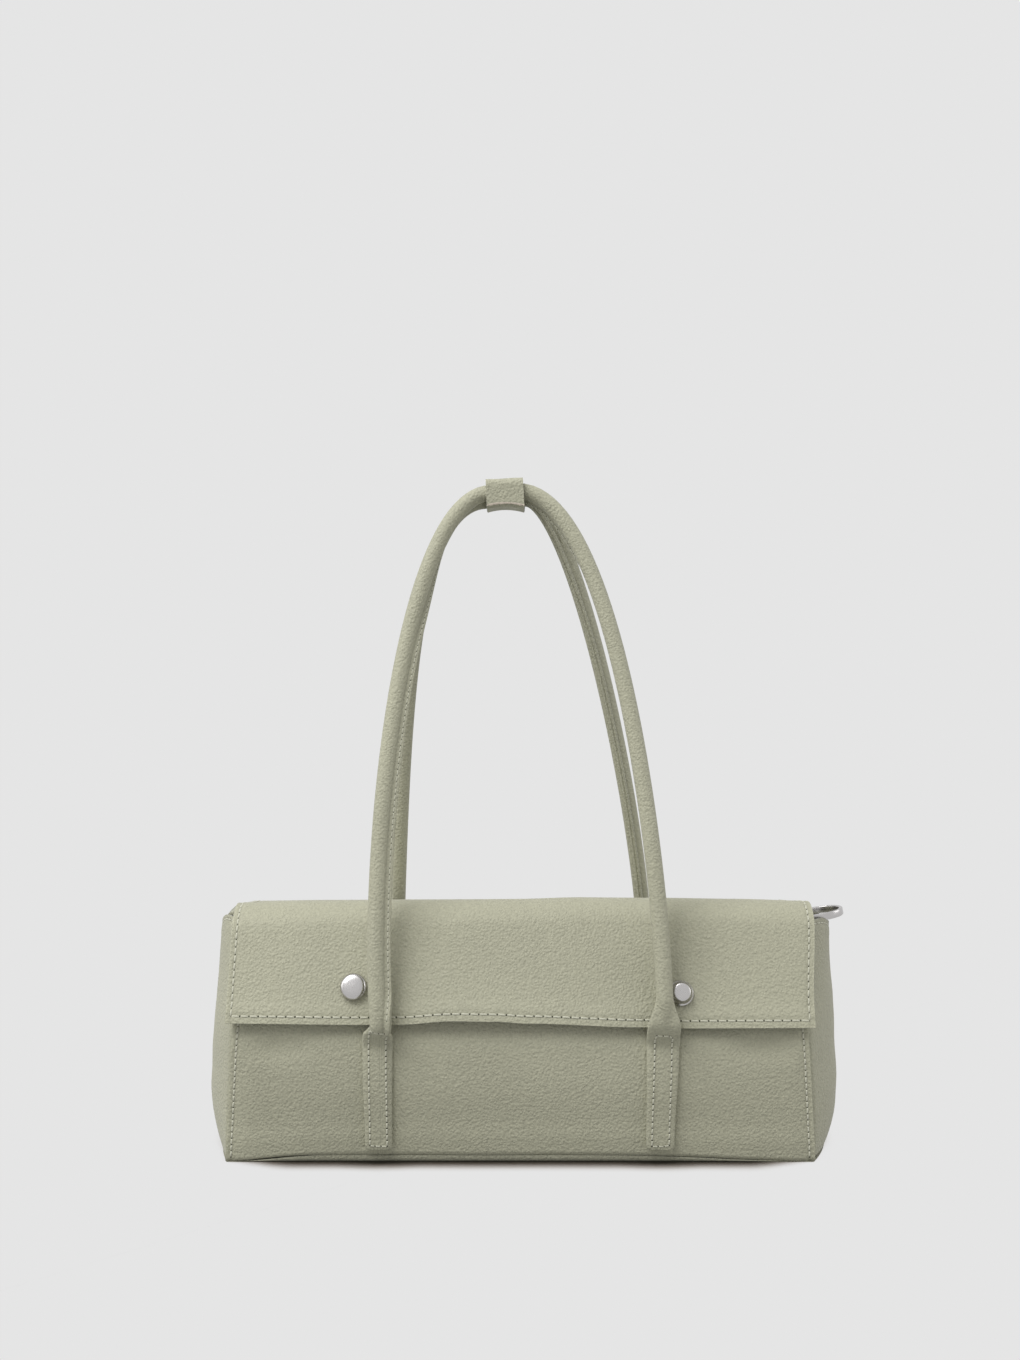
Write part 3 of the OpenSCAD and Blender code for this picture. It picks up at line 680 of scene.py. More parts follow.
def gussetPoint(side, billow):
    def point(s, z):
        z = max(1.3, z)
        reach = -wallY(z) - tuckAt(z) - panelThick(tuckAt(z))
        fromWall = (1 - abs(s)) * reach
        x = halfWidth(z) - 0.8 + billowAt(z, billow) * (1 - s * s)
        x += 0.8 * (1 - smooth(0.3, 1.3, fromWall)) - 1.3 * hump(fromWall, 2.0, 0.9)
        fromTop = body["height"] - z
        x += hem["puff"] * smooth(hem["height"], hem["height"] - 1, fromTop)
        x -= 0.35 * hump(fromTop, hem["stitch"], 0.7)
        soft = smooth(0, 12, fromWall) * smooth(0, 14, z)
        x += soft * (0.7 * waver(side * 9, s * 30, z, 24) + 0.3 * waver(side * 5, s * 40, z, 12))
        x -= soft * 0.8 * hump(s, 0.12 * side, 0.16) * hump(z, 96, 24)
        stands = billow["tip"] * smooth(0.1, 0.6, abs(s)) * smooth(1.0, 0.9, abs(s))
        return side * x, s * reach, z + stands * smooth(hem["tipFrom"], 0, fromTop)
    return point


# painted shade along the hem's stitch line and in the valley beside each wall
def hemShade(s, z):
    return 0.5 * hump(z, body["height"] - hem["stitch"], 0.7) + 0.6 * hump(abs(s), 0.955, 0.02)


gussetAcross = steps(-1, -0.9, 8) + steps(-0.88, 0.88, 40) + steps(0.9, 1, 8)
gussetUp = steps(1.3, 98, 40) + steps(99.5, body["height"], 18)
for side, billow, label in ((-1, body["leftBillow"], "left"), (1, body["rightBillow"], "right")):
    surface = gussetPoint(side, billow)
    gusset = addSheet(label + "Gusset", surface, gussetAcross, gussetUp, body["gusset"],
                      ["leather", "edge", "leather"], "leather", "bag", side, None, hemShade, 0.35)
    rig.replaces(gusset, label + "_gusset")
    level = body["height"] - hem["stitch"]
    runs = [walk(surface, [(-0.93, level), (0.93, level)], sewing["hemPitch"], side)]
    addStitches(label + "HemStitches", runs, "bag", size=0.8)
print("ends made")

# Inside: a cloth lining with its floor on the board, and a leather facing round the mouth
inside = {"wallGap": 2.35, "endGap": 3.3, "floor": 4.3, "facingLow": 86, "rim": 107.3, "cloth": 0.7,
          "facing": 0.9, "clothSlack": 0.8, "facingSlack": 0.15}


def insideLoop(z, inset, slack):
    # round the inside at one height: right end, back wall, left end, front wall
    reach = -wallY(z) - tuckAt(z) - inside["wallGap"] - inset
    half = halfWidth(z) - inside["endGap"] - inset
    loop = []
    for side, billow in ((1, body["rightBillow"]), (-1, body["leftBillow"])):
        for s in steps(-1, 1, 24)[:-1]:
            fold = slack * (0.6 + 0.6 * waver(side * 20, s * 40, z, 22)) * (1 - s * s)
            loop.append((side * (half - fold + billowAt(z, billow) * (1 - s * s)), side * s * reach, z))
        for x in steps(half, -half, 48)[:-1]:
            fold = slack * (0.8 + 0.8 * waver(x, side * 9, z, 30)) * (1 - (x / half) ** 4)
            loop.append((side * x, side * (reach - fold), z))
    return loop


def addInside(name, heights, thick, slack, look, slot, node, floor):
    loops = [insideLoop(z, 0, slack) for z in heights]
    lowest = heights[0] + thick if floor else heights[0]
    loops += [insideLoop(max(z, lowest), thick, slack) for z in reversed(heights)]
    count, points = len(loops[0]), [p for loop in loops for p in loop]
    faces = ringFaces(len(loops), count, 0, not floor) + (ringCaps(len(loops), count) if floor else [])
    made = addPiece(name, points, faces, [look], slot, "bag")
    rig.replaces(made, node)


addInside("liningCloth", steps(inside["floor"], inside["facingLow"], 30), inside["cloth"],
          inside["clothSlack"], "cloth", "lining_cloth", "lining", True)
addInside("mouthFacing", steps(inside["facingLow"], inside["rim"], 10), inside["facing"],
          inside["facingSlack"], "facing", "facing_leather", "mouth_facing", False)
print("inside made")

# Flap: one line in side view, from its front edge over the mouth to the strip on the back wall
flap = {"gap": 0.4, "facing": 1.0, "outer": 1.2, "foldRadius": 16, "crest": 122, "fall": 0.16, "edge": 66,
        "stripEdge": 83, "halfWidth": boxOf("flap_front_outer")[1].x, "seam": 2.7, "splitY": 6.0,
        "flare": 3.4, "cornerBend": 5.0,
        # along x: how far the lower edge is raised, and how far the crest sags
        "edgeRise": [(-141, 0.3), (-75, -0.3), (-58, -0.2), (-32, 1.4), (-12, 1.2), (4, 0.3), (58, -1.5),
                     (80, -2.0), (141, -1.8)],
        "crestSag": [(-141, 2.6), (-100, 1.7), (-55, 1.2), (-10, 0.9), (30, 0.1), (70, 0.1), (105, 0.8),
                     (141, 1.7)],
        # near the lower edge: height, x and reach of each swell; over the front: height, x, reach, z, reach
        "edgeSwells": [(0.9, -20, 34), (0.5, 112, 18), (0.25, -118, 16)],
        "swells": [(0.7, 55, 30, 100, 12), (-1.1, 86, 13, 94, 12)]}


def alongX(x, line):  # eased in between the places of a line
    for (a, low), (b, high) in zip(line, line[1:]):
        if x <= b:
            return mixed(low, high, smooth(a, b, x))
    return line[-1][1]


def flapLine():
    lean, leanLength = body["lean"], math.hypot(1, body["lean"])
    under = flap["foldRadius"] - flap["facing"] - flap["outer"]
    centreZ = flap["crest"] - flap["foldRadius"]
    centreY = -body["depth"] / 2 + lean * (centreZ - body["leanFrom"] - body["leanBlend"] / 2)
    centreY += leanLength * (under - flap["gap"])
    fold = arc(centreY, centreZ, under, 180 - math.degrees(math.atan(lean)),
               90 - math.degrees(math.atan(flap["fall"])), 20)
    line = []
    for z in steps(flap["edge"], fold[0][1], 22)[:-1]:
        slope = lean * min(1, max(0, (z - body["leanFrom"]) / body["leanBlend"]))
        out = flap["gap"] / math.hypot(1, slope)
        line.append((wallY(z) - out, z + slope * out))
    line += fold
    topY, topZ = line[-1]
    past = topZ + flap["fall"] * topY - body["leanFrom"] - body["leanBlend"] / 2
    cornerY = (body["depth"] / 2 - lean * past) / (1 - lean * flap["fall"])
    cornerZ = topZ - flap["fall"] * (cornerY - topY)
    bend = flap["cornerBend"]
    before = (cornerY - bend, cornerZ + flap["fall"] * bend)
    after = (cornerY + lean * bend, cornerZ - bend)
    line += [(mixed(topY, before[0], s), mixed(topZ, before[1], s)) for s in steps(0, 1, 26)[1:]]
    for t in steps(0, 1, 9)[1:]:
        line.append(tuple((1 - t) ** 2 * p + 2 * t * (1 - t) * c + t * t * q
                          for p, c, q in zip(before, (cornerY, cornerZ), after)))
    line += [(-wallY(z), z) for z in steps(after[1], flap["stripEdge"], 12)[1:]]
    return [Vector((0, y, z)) for y, z in line]


flapUnder = flapLine()
flapOut = [Vector((0, -ahead.z, ahead.y)).normalized() for ahead in headings(flapUnder)]
flapSplit = next(k for k, p in enumerate(flapUnder) if p.y > flap["splitY"] and p.z > 100)
crestRow = next(k for k, p in enumerate(flapUnder) if p.y > -20 and p.z > 100)
frontSpacing = 1.6  # millimetres from row to row, near the lower edge


def flapPoint(out):
    def point(x, row):
        k = min(max(row, 0), len(flapUnder) - 1)
        low = min(int(k), len(flapUnder) - 2)
        share = k - low
        here = flapUnder[low].lerp(flapUnder[low + 1], share)
        normal = flapOut[low].lerp(flapOut[low + 1], share).normalized()
        front = here.y < 0
        nearEdge = (1 - smooth(66, 92, here.z)) * front
        soft = smooth(0, 6, k) * (1 - smooth(flapSplit - 8, flapSplit + 2, k))
        lift = 0.25 + 0.25 * waver(x, 3, k, 30) * soft
        if out > flap["facing"]:
            lift -= 0.3 * (hump(flap["halfWidth"] - abs(x), flap["seam"], 0.8)
                           + hump(k * frontSpacing, flap["seam"], 0.8))
        lift += nearEdge * sum(high * hump(x, at, reach) for high, at, reach in flap["edgeSwells"])
        lift += front * sum(high * hump(x, at, reach) * hump(here.z, level, tall)
                            for high, at, reach, level, tall in flap["swells"])
        # the lower edge stands off the wall, less so under the handle
        lift += 1.2 * (1 - smooth(66, 77, here.z)) * (1 - 0.6 * hump(abs(x), 68, 12)) * front
        spot = here + normal * (out + lift)
        # the right edge runs outwards to the crest
        wider = flap["flare"] * max(0, x / flap["halfWidth"]) ** 3
        wider *= smooth(70, 118, here.z) * smooth(-13, -19, here.y)
        rise = alongX(x, flap["edgeRise"]) * nearEdge - alongX(x, flap["crestSag"]) * smooth(107, 118, here.z)
        return x + wider, spot.y, spot.z + rise
    return point


# painted shade along the stitch lines at the sides and the lower edge
def flapShade(x, row):
    return 0.5 * (hump(flap["halfWidth"] - abs(x), flap["seam"], 0.7)
                  + hump(row * frontSpacing, flap["seam"], 0.7))


# lighter at the side and lower edges: edge wear and a painted highlight on the lip
def flapWearAndHighlight(x, row):
    return 0.9 * (hump(flap["halfWidth"] - abs(x), 0.1, 0.7) + hump(row * frontSpacing, 0.1, 0.7))


def facingDepth(x, row):  # thinner over the magnets
    z = flapUnder[min(int(row), lastRow)].z
    near = min(fromStud(x, z, stud) for stud in studs)
    pressed = 0.2 * (1 - smooth(magnet["reach"], magnet["reach"] + 1.2, near)) * (row < flapSplit)
    return flap["facing"] - 0.02 - pressed


half = flap["halfWidth"]
edge = [half - e for e in (0, 0.4, 0.9, 1.5, 2.1, 2.7, 3.3, 4, 5, 6.5, 9)]
flapColumns = [-x for x in edge] + steps(-half + 13, half - 13, 84) + edge[::-1]
lastRow = len(flapUnder) - 1
frontRows = [0, 0.25, 0.55, 0.9, 1.3, 1.7, 2.1, 2.5, 3] + list(range(4, flapSplit + 1))
rearRows = list(range(flapSplit, lastRow - 2)) + [lastRow - back for back in (2, 1.6, 1.2, 0.8, 0.4, 0)]
foldEnds, hingeEnds = ([tuple(flapUnder[row] * mm) for row in pair]
                       for pair in ((crestRow - 12, crestRow + 3), (lastRow - 11, lastRow - 23)))
for label, rows, bodies, ends in (("Front", frontRows, ("flap_front", "flap_top"), foldEnds),
                                  ("Rear", rearRows, ("bag", "flap_top"), hingeEnds)):
    for layer, out, depth, look, slot, groove in (
            ("Outer", flap["facing"] + flap["outer"], flap["outer"] - 0.04, "leather", "leather", flapShade),
            ("Facing", flap["facing"], facingDepth, "facing", "facing_leather", None)):
        made = addSheet("flap" + label + layer, flapPoint(out), flapColumns, rows, depth,
                        [look, "edge", look], slot, None, 1, flapWearAndHighlight, groove, 0.28)
        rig.blend(made, bodies[0], bodies[1], *ends)
        if label == "Front":
            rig.replaces(made, "flap_front_" + layer.lower(), "flap_top_" + layer.lower())
        elif layer == "Outer":
            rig.replaces(made, "flap_strip")
    face = flapPoint(flap["facing"] + flap["outer"])
    inset = flap["halfWidth"] - flap["seam"]
    level = flap["seam"] / 1.75 if label == "Front" else lastRow - flap["seam"] / 2.1
    runs = [walk(face, [(side * inset, flapSplit), (side * inset, level)], sewing["sidePitch"])
            for side in (-1, 1)]
    runs.append(walk(face, [(-inset, level), (inset, level)], sewing["pitch"]))
    threads = addStitches("flap" + label + "Stitches", runs)
    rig.blend(threads, bodies[0], bodies[1], *ends)
print("flap made")

# Handles: each starts as a flat stitched tab, rolls into a tube with a stitched fin, and comes down again.
# Pairs are for the left and the right leg: how far the tab's foot stands towards +x, its half width at top
# and foot, how high its stitches go and where those of the fin start
handle = {"spacing": 136.4, "pivotZ": hinges["front_handle_tilt"].z, "pivotY": hinges["front_handle_tilt"].y,
          "tabLow": 7.1, "tabThick": 2.6, "tabShift": (0.6, -1.3), "tabTop": (7.2, 7.9),
          "tabFoot": (6.5, 6.7), "stitchInset": 4.1, "stitchTop": (65.6, 62.8), "tubeRadius": 4.1,
          "finReach": 7.1, "finHalf": 1.15, "finSeam": 5.9, "finStitched": (70, 84), "gripX": -7.5,
          "gripZ": 326.5, "gripHalf": 10.05, "gripTilt": math.radians(3), "gripY": 5.4}
# each leg's curve (bow, rise, run under the keeper, drop), how far its foot stands towards +x, how far the
# grip sinks, where the tab rolls up, how far the fin is turned at the tab and under the keeper, between which
# heights it turns, and how far it curls forward over the tab
arches = {
    "front": {"curve": ((9.3, 83, 42.2, 6.8), (3.2, 50, 50.5, 12.3)), "foot": (1.7, -0.1), "sink": 0,
              "rollFrom": (61, 65), "rollTo": (67, 81), "twist": (0, 92), "topTwist": (80, 44),
              "turn": ((240, 322), (255, 322)), "curl": (-32, 0)},
    "rear": {"curve": ((-6.0, 154, 39.7, 0), (6.4, 50, 28.6, -1.9)), "foot": (0, 0.8), "sink": 2.3,
             "rollFrom": (62, 62), "rollTo": (71, 72), "twist": (-75, 80), "topTwist": (-75, 62),
             "turn": ((240, 322), (240, 322)), "curl": (0, 0)},
}


def legPoint(arch, which, t):
    side, (bow, rise, run, drop) = (-1, 1)[which], arch["curve"][which]
    foot = Vector((side * handle["spacing"] / 2 + arch["foot"][which], handle["pivotZ"]))
    tilt = Vector((math.cos(handle["gripTilt"]), math.sin(handle["gripTilt"])))
    top = Vector((handle["gripX"], handle["gripZ"] - arch["sink"])) + tilt * side * handle["gripHalf"]
    control = foot + Vector((side * bow, rise))
    shoulder = top + tilt * side * run - Vector((0, drop))
    back = 1 - t
    return back ** 3 * foot + 3 * back ** 2 * t * control + 3 * back * t * t * shoulder + t ** 3 * top


def handleY(z, side):
    pivotY, straight = handle["pivotY"], handle["pivotZ"] + handle["tubeRadius"]
    u = (z - straight) / (handle["gripZ"] - straight)
    bend = 0.06
    share = 0 if u < 0 else (u * u / 2 / bend if u < bend else u - bend / 2) / (1 - bend / 2)
    tubeY = mixed(pivotY, -handle["gripY"], share)
    low = min(z, 57)
    tabY = wallY(low) + wallRelief(side * handle["spacing"] / 2, low, True) - handle["tabThick"] / 2 - 0.1
    return mixed(tabY, tubeY, smooth(55, 69, z))


def finTurn(arch, which, z):  # which way the fin points, in degrees: 0 inwards, 90 to the back of its handle
    turned = mixed(arch["twist"][which], arch["topTwist"][which], smooth(*arch["turn"][which], z))
    return turned + arch["curl"][which] * (1 - smooth(69, 84, z))


def handleStations(arch):
    # from the left tab's foot over the grip to the right tab's foot
    legs = []
    for side, which in ((-1, 0), (1, 1)):
        x = side * handle["spacing"] / 2
        low = [handle["tabLow"] + d for d in (0, 0.15, 0.45, 0.9, 1.5, 2.4)]
        spots = [Vector((x, z)) for z in low + steps(11, 51, 10) + steps(52.5, 61.5, 6)]
        spots += [legPoint(arch, which, t) - Vector((arch["foot"][which], 0))
                  for t in steps(0, 0.1, 14) + steps(0.125, 1, 40)]
        leg = []
        for spot in spots:
            z = spot.y
            x = spot.x + arch["foot"][which] * smooth(58, 70, z)
            foot = 1 - smooth(handle["tabLow"], arch["rollFrom"][which], z)
            rolled = smooth(arch["rollFrom"][which], arch["rollTo"][which], z)
            turned = math.radians(finTurn(arch, which, z))
            pinch = 1.5 - math.sqrt(max(0, 1.5 ** 2 - max(0, 1.5 - (z - handle["tabLow"])) ** 2))
            wide = mixed(handle["tabTop"][which], handle["tabFoot"][which], foot) - pinch
            place = Vector((x + handle["tabShift"][which] * foot, handleY(z, side), z))
            leg.append((place, rolled, turned, wide))
        legs.append(leg)
    return legs[0] + legs[1][::-1]


def roundedBox(angle, half, thick, power):  # from the middle to the outline of a box with soft corners
    return ((abs(math.cos(angle)) / half) ** power + (abs(math.sin(angle)) / thick) ** power) ** (-1 / power)


def sectionRadius(angle, rolled, turned, half):
    # the distance from the middle to the outline of the section, tab and tube mixed
    toFin = abs((angle + math.pi) % math.tau - math.pi)
    fin = roundedBox(toFin, handle["finReach"], handle["finHalf"], 8) if toFin < math.pi / 2 else 0.0
    tube = (handle["tubeRadius"] ** 14 + fin ** 14) ** (1 / 14) - 0.35 * (toFin < math.radians(1.2))
    return mixed(roundedBox(angle + turned, half, handle["tabThick"] / 2, 7), tube, rolled)


def handleSurface(stations, turn):
    frames = []
    for ahead in headings([station[0] for station in stations]):
        inward = Vector((0, 1, 0)).cross(ahead).normalized()
        frames.append((inward, ahead.normalized().cross(inward)))

    def point(angle, row):
        k = min(int(row), len(stations) - 2)
        share = row - k
        spots = []
        for j in (k, k + 1):
            inward, sideways = frames[j]
            p, rolled, turned, half = stations[j]
            radius = sectionRadius(angle, rolled, turned, half)
            toOutline = inward * math.cos(angle + turned) + sideways * math.sin(angle + turned)
            spots.append(p + toOutline * radius)
        spot = spots[0].lerp(spots[1], share)
        return spot.x, turn * spot.y, spot.z
    return point


# round the section, closer together at the fin
halfAngles = [0, 1.2, 2.6, 4.4, 6.4, 8.4, 10, 11.5, 13.5, 16, 19, 23, 28] + [33 + 4.2 * i for i in range(34)]
halfAngles += [175.8 + 1.4 * i for i in range(4)]
sectionAngles = [math.radians(a) for a in sorted({round(a, 3) for a in halfAngles}
                                                 | {round(360 - a, 3) for a in halfAngles if a > 0})]


def finShade(angle):  # painted shade in the notch between its two leathers and in a hollow beside it
    fromFin = math.degrees(min(angle, math.tau - angle))
    return 0.7 * hump(fromFin, 0, 2.0) + 0.9 * hump(fromFin, 18, 5)


handleBlend = ((0, 0.0500, 0.0555), (0, 0.0500, 0.0695))
for label, turn in (("front", 1), ("rear", -1)):
    arch = arches[label]
    stations = handleStations(arch)
    surface = handleSurface(stations, turn)
    count, rows = len(sectionAngles), len(stations)
    points = [surface(a, row) for row in range(rows) for a in sectionAngles]
    faces = ringFaces(rows, count) + ringCaps(rows, count)
    made = addPiece(label + "Handle", points, faces, ["leather"], "leather", None, None,
                    {"groove": [finShade(a) for a in sectionAngles] * rows}, sharp=70)
    ends = [(x, turn * -y, z) for x, y, z in handleBlend]
    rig.blend(made, "bag", label + "_handle", *ends)
    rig.replaces(made, label + "_handle_tube", label + "_handle_core", label + "_left_tab",
                label + "_right_tab")

    # stitches: a closed box on each tab and a row along each side of the fin
    heights = [place.z for place, _, _, _ in stations]

    def rowAt(z, leg):
        order = range(rows // 2) if leg == 0 else range(rows - 2, rows // 2 - 1, -1)
        k = next(k for k in order if min(heights[k], heights[k + 1]) <= z <= max(heights[k], heights[k + 1]))
        return k + (z - heights[k]) / (heights[k + 1] - heights[k])

    tabRuns = []
    for leg in (0, 1):
        turned = math.radians(finTurn(arch, leg, handle["tabLow"]))
        reach = math.atan2(handle["tabThick"] / 2, handle["stitchInset"])
        near, far = -reach - turned, reach - math.pi - turned
        low, high = rowAt(handle["tabLow"] + 1.7, leg), rowAt(handle["stitchTop"][leg], leg)
        corners = [(near, low), (near, high), (far, high), (far, low)]
        tabRuns.append(walk(surface, corners, sewing["tabPitch"], turn, True))
    first, last = (rowAt(z, leg) for leg, z in enumerate(handle["finStitched"]))
    finAngle = math.atan2(handle["finHalf"], handle["finSeam"])
    finRuns = [walk(surface, [(angle, first), (angle, last)], sewing["seamPitch"], turn)
               for angle in (-finAngle, finAngle)]
    for name, runs, size in (("TabStitches", tabRuns, 0.85), ("FinStitches", finRuns, 0.55)):
        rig.blend(addStitches(label + name, runs, size=size), "bag", label + "_handle", *ends)
print("handles made")

# Keeper: a leather band round both tubes, its lapped end on the lower front
keeper = {"width": 18.9, "thick": 1.3, "reach": 9.65, "top": 4.6, "bottom": 7.1, "corner": 4.2,
          "flare": 0.012, "lap": 0.9, "lapLow": -7.2}


def bandLine(reach, top, bottom, corner):
    # from the middle of the top over the front to the middle of the bottom, as (y, z)
    line = [(-0.08, top), (-reach / 3, top)] + arc(corner - reach, top - corner, corner, 90, 180, 10)
    line += [(-reach, (top - bottom) / 2)] + arc(corner - reach, corner - bottom, corner, 180, 270, 10)
    return line + [(-reach / 3, -bottom), (-0.08, -bottom)]


def bandPoint(line, turn):
    tilt = Matrix.Rotation(-handle["gripTilt"], 3, "Y")
    centre = Vector((handle["gripX"], 0, handle["gripZ"]))

    def point(a, row):
        k = min(int(row), len(line) - 2)
        (y0, z0), (y1, z1) = line[k], line[k + 1]
        y, z = mixed(y0, y1, row - k), mixed(z0, z1, row - k)
        side = a * 2 / keeper["width"]
        swell = 1 + keeper["flare"] * abs(side) ** 3
        raised = smooth(-2, -7, z) * (1.3 * (1 - side * side) - 0.5 * (side + 1))  # its bottom is arched
        uneven = 0.2 * waver(a, row, turn, 9)
        return tuple(centre + tilt @ Vector((a, turn * y * swell, z * swell + raised + uneven)))
    return point


bandAcross = [keeper["width"] * s
              for s in (-0.5, -0.48, -0.45, -0.38, -0.25, -0.12, 0, 0.12, 0.25, 0.38, 0.45, 0.48, 0.5)]
reach, top, bottom = (keeper[key] + keeper["thick"] for key in ("reach", "top", "bottom"))
outerLine = bandLine(reach, top, bottom, keeper["corner"] + 1)
for label, turn in (("front", 1), ("rear", -1)):
    band = addSheet(label + "Keeper", bandPoint(outerLine, turn), bandAcross, range(len(outerLine)),
                    keeper["thick"] - 0.1, ["leather", "edge", "facing"], "leather", label + "_handle", -turn)
    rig.replaces(band, "keeper_" + label)
lapLine = bandLine(reach + keeper["lap"], top + keeper["lap"], bottom, keeper["corner"] - 0.6)[:12]
lapLine += [(lapLine[-1][0], z) for z in steps(lapLine[-1][1], keeper["lapLow"] + 0.9, 8)[1:]]
lapLine += [(lapLine[-1][0] + 0.1, keeper["lapLow"] + 0.45), (lapLine[-1][0] + 0.35, keeper["lapLow"])]
lapPoint = bandPoint(lapLine, 1)


def tornLap(a, row):  # its cut end is uneven
    x, y, z = lapPoint(a, row)
    torn = 0.22 * waver(a * 4, 0, 5, 3) + 0.1 * waver(a * 11, 3, 5, 3)
    return x, y, z + max(0, row - len(lapLine) + 3) * torn


lapAcross = sorted(set(bandAcross + steps(-keeper["width"] * 0.47, keeper["width"] * 0.47, 40)))
addSheet("keeperLap", tornLap, lapAcross, range(len(lapLine)), keeper["lap"] - 0.05,
         ["leather", "rawEdge", "facing"], "leather", "front_handle", -1, soften=0.15, frayed=2)
print("keeper made")

# Studs: low caps with a rolled foot, the left one's face wider. Their outlines are radius and height
studFoot = [(5.6, 1.0), (5.95, 0.8), (6.1, 0.5), (6.05, 0.15), (5.8, 0), (0.001, 0)]
buttons = {
    "left": {"shift": (-1.1, 0, -1.0), "cap": [
        (0.001, 4.5), (2.8, 4.45), (4.5, 4.3), (5.35, 4.0), (5.95, 3.4), (6.35, 2.6), (6.45, 1.9),
        (6.2, 1.3)]},
    "right": {"shift": (-1.7, 0, -3.6), "cap": [
        (0.001, 4.5), (1.8, 4.5), (3.2, 4.46), (3.9, 4.36), (4.25, 4.15), (4.42, 3.8), (4.6, 3.2),
        (4.95, 2.2), (5.3, 1.4)]},
}


def lathe(profile, turns=72):
    points = [(r * math.cos(math.tau * k / turns), r * math.sin(math.tau * k / turns), h)
              for r, h in profile for k in range(turns)]
    return points, ringFaces(len(profile), turns)


for stud, (label, button) in zip(studs, buttons.items()):
    spot = stud + Vector(button["shift"])
    turned = Matrix.Rotation(math.pi / 2 - math.atan(body["lean"]), 3, "X")
    out = flap["gap"] + flap["facing"] + flap["outer"] + 0.1
    foot = Vector((spot.x, wallY(spot.z), spot.z)) + turned @ Vector((0, 0, out))
    points, faces = lathe(button["cap"] + studFoot)
    made = addPiece(label + "Button", [foot + turned @ Vector(p) for p in points], faces, ["nickel"],
                    "nickel", "flap_front", sharp=80)
    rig.replaces(made, label + "_stud")
print("studs made")

# Rings: a round bar and a flat band bent to a D
ring = {"width": 22, "reach": 20, "bandWidth": 3.6, "bandThick": 1.8, "bandRound": 0.45, "bar": 3.2,
        "rightLift": 10, "leftLean": 12}


def sweep(path, outline, up):
    points = []
    for p, ahead in zip(path, headings(path)):
        out = ahead.cross(up).normalized()
        points += [p + out * u + up * v for u, v in outline]
    return points, ringFaces(len(path), len(outline)) + ringCaps(len(path), len(outline))


def roundedOutline(wide, high, r):
    x, y = wide / 2 - r, high / 2 - r
    corners = ((x, y), (-x, y), (-x, -y), (x, -y))
    return [spot for k, corner in enumerate(corners) for spot in arc(*corner, r, 90 * k, 90 * k + 90, 3)]


def ringMesh():
    half = ring["width"] / 2 - ring["bandThick"] / 2
    centre = ring["reach"] - ring["width"] / 2
    path = [(x, -half) for x in steps(0, centre, 6)[:-1]] + arc(centre, 0, half, -90, 90, 32)
    path += [(x, half) for x in steps(centre, 0, 6)[1:]]
    outline = roundedOutline(ring["bandThick"], ring["bandWidth"], ring["bandRound"])
    points, faces = sweep([Vector((x, y, 0)) for x, y in path], outline, Vector((0, 0, 1)))
    r, length = ring["bar"] / 2, ring["width"] / 2
    profile = [(0.001, length), (r * 0.7, length), (r * 0.93, length - 0.15), (r, length - 0.5),
               (r, -length + 0.5), (r * 0.93, -length + 0.15), (r * 0.7, -length), (0.001, -length)]
    barPoints, barFaces = lathe(profile, 32)
    first = len(points)
    points += [Vector((x, z, y)) for x, y, z in barPoints]
    faces += [tuple(first + k for k in face) for face in barFaces]
    return points, faces


points, faces = ringMesh()
for label, lift in (("right", -ring["rightLift"]), ("left", 90 - ring["leftLean"])):
    turned = Matrix.Rotation(math.radians(lift), 3, "Y")
    bar = hinges[label + "_ring_swing"]
    made = addPiece(label + "DRing", [bar + turned @ p for p in points], faces, ["nickel"], "nickel",
                    label + "_ring", sharp=60)
    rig.replaces(made, label + "_ring")
print("rings made")

# What stays as the frame has it, with its finish
kept = {"base_board": "board"}
for side in ("left", "right"):
    kept[side + "_ring_tab"] = "leather"
    for part in ("_panel_magnet", "_magnet_washer", "_flap_magnet"):
        kept[side + part] = "steel"
for name, look in kept.items():
    frame["nodes"][name].data.materials.clear()
    frame["nodes"][name].data.materials.append(finishes[look])
print("frame pieces finished")

# Studio: pale floor and backdrop, soft light from overhead. Seen directly, the floor glows with a painted shadow, dark
# close to the bag, less so towards its ends, between shadeEnds
studio = {"backdrop": 0.784, "world": 0.54, "floor": 0.4, "shadowReach": 0.016, "shadeEnds": (0.108, 0.15),
          "lampSize": 0.9, "aim": (0, 0, 0.08),
          "lamps": {"key": ((-0.6, -0.6, 1.35), 16.4), "leftFill": ((-1.5, -0.25, 0.75), 3.6),
                    "rightFill": ((1.5, -0.25, 0.75), 5.0)}}


def grey(value):
    return colour(value, value, value)


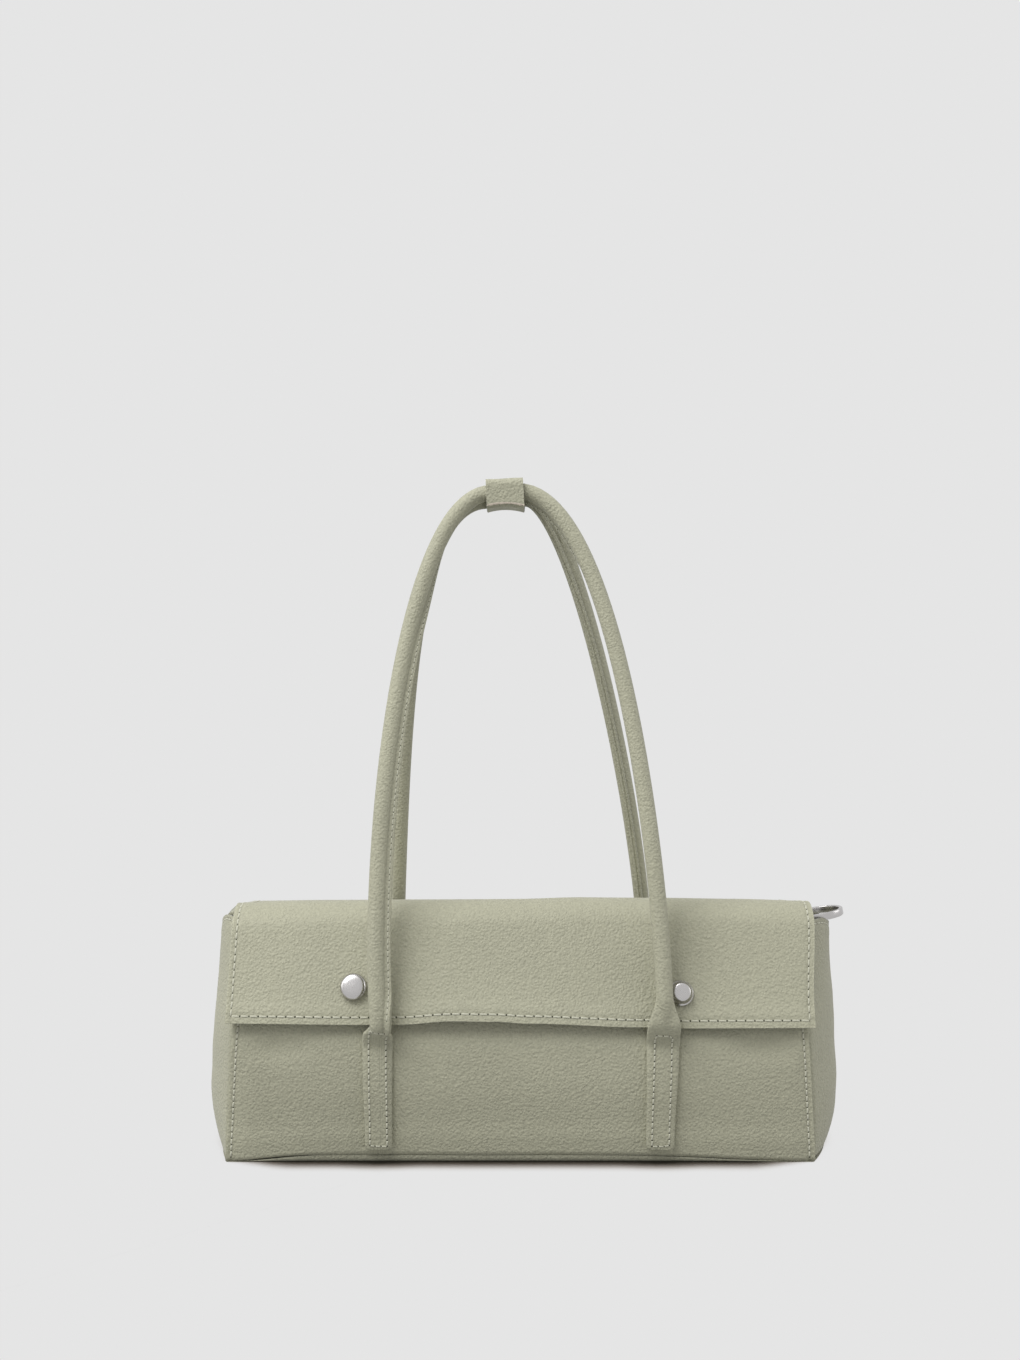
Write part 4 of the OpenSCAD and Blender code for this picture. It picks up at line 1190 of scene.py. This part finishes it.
def makeFloor():
    s = Shader("paleFloor")
    near = s.node("AmbientOcclusion", {"samples": 12}, {"Distance": studio["shadowReach"]}, "AO")
    across = s.node("Math", {"operation": "ABSOLUTE"}, {0: s.node("SeparateXYZ", {}, {"Vector": s.place()})})
    low, high = studio["shadeEnds"]
    ends = s.node("MapRange", {"interpolation_type": "SMOOTHSTEP"}, {
        "Value": across, "From Min": low, "From Max": high, "To Min": 0, "To Max": 0.5})
    # painted shadow: near black at the bag's foot, fading to the backdrop tone away from it and towards its ends
    shade = s.node("ValToRGB", {"stops": [
        (0.0, colour(0.008, 0.008, 0.006)), (0.5, colour(0.02, 0.018, 0.013)),
        (0.66, colour(0.2, 0.17, 0.14)), (0.8, colour(0.62, 0.6, 0.58)),
        (0.93, grey(studio["backdrop"]))]}, {"Fac": near + ends})
    plain = s.node("BsdfDiffuse", {}, {"Color": grey(studio["floor"])})
    # seen directly the floor glows with the painted shadow; other rays meet a plain diffuse floor
    paintedShadowGlow = s.node("Emission", {}, {"Color": shade, "Strength": 1})
    return s.surface(s.node("MixShader", {}, {0: s.seenDirectly(), 1: plain, 2: paintedShadowGlow}))


floorMesh = bpy.data.meshes.new("floor")
floorMesh.from_pydata([(-30, -30, 0), (30, -30, 0), (30, 30, 0), (-30, 30, 0)], [], [(0, 1, 2, 3)])
floorMesh.materials.append(makeFloor())
floor = bpy.data.objects.new("floor", floorMesh)
bpy.context.scene.collection.objects.link(floor)
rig.stage(floor)

sky = Shader("studio", True)
soft, back = (sky.node("Background", {}, {"Color": grey(1), "Strength": studio[key]})
              for key in ("world", "backdrop"))
bpy.context.scene.world = sky.surface(sky.node("MixShader", {}, {0: sky.seenDirectly(), 1: soft, 2: back}))
for name, (place, power) in studio["lamps"].items():
    data = bpy.data.lights.new(name, "AREA")
    data.size, data.energy = studio["lampSize"], power
    lamp = bpy.data.objects.new(name, data)
    lamp.location = place
    lamp.rotation_mode = "QUATERNION"
    lamp.rotation_quaternion = (Vector(studio["aim"]) - Vector(place)).to_track_quat("-Z", "Y")
    bpy.context.scene.collection.objects.link(lamp)
bpy.context.scene.view_settings.view_transform = "Standard"
print("studio lit")

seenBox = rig.bounds()
with open("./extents.json", "w") as file:
    json.dump({"cad": [list(corner) for corner in cadBox], "visual": [list(corner) for corner in seenBox]}, file)
print("sizes written")
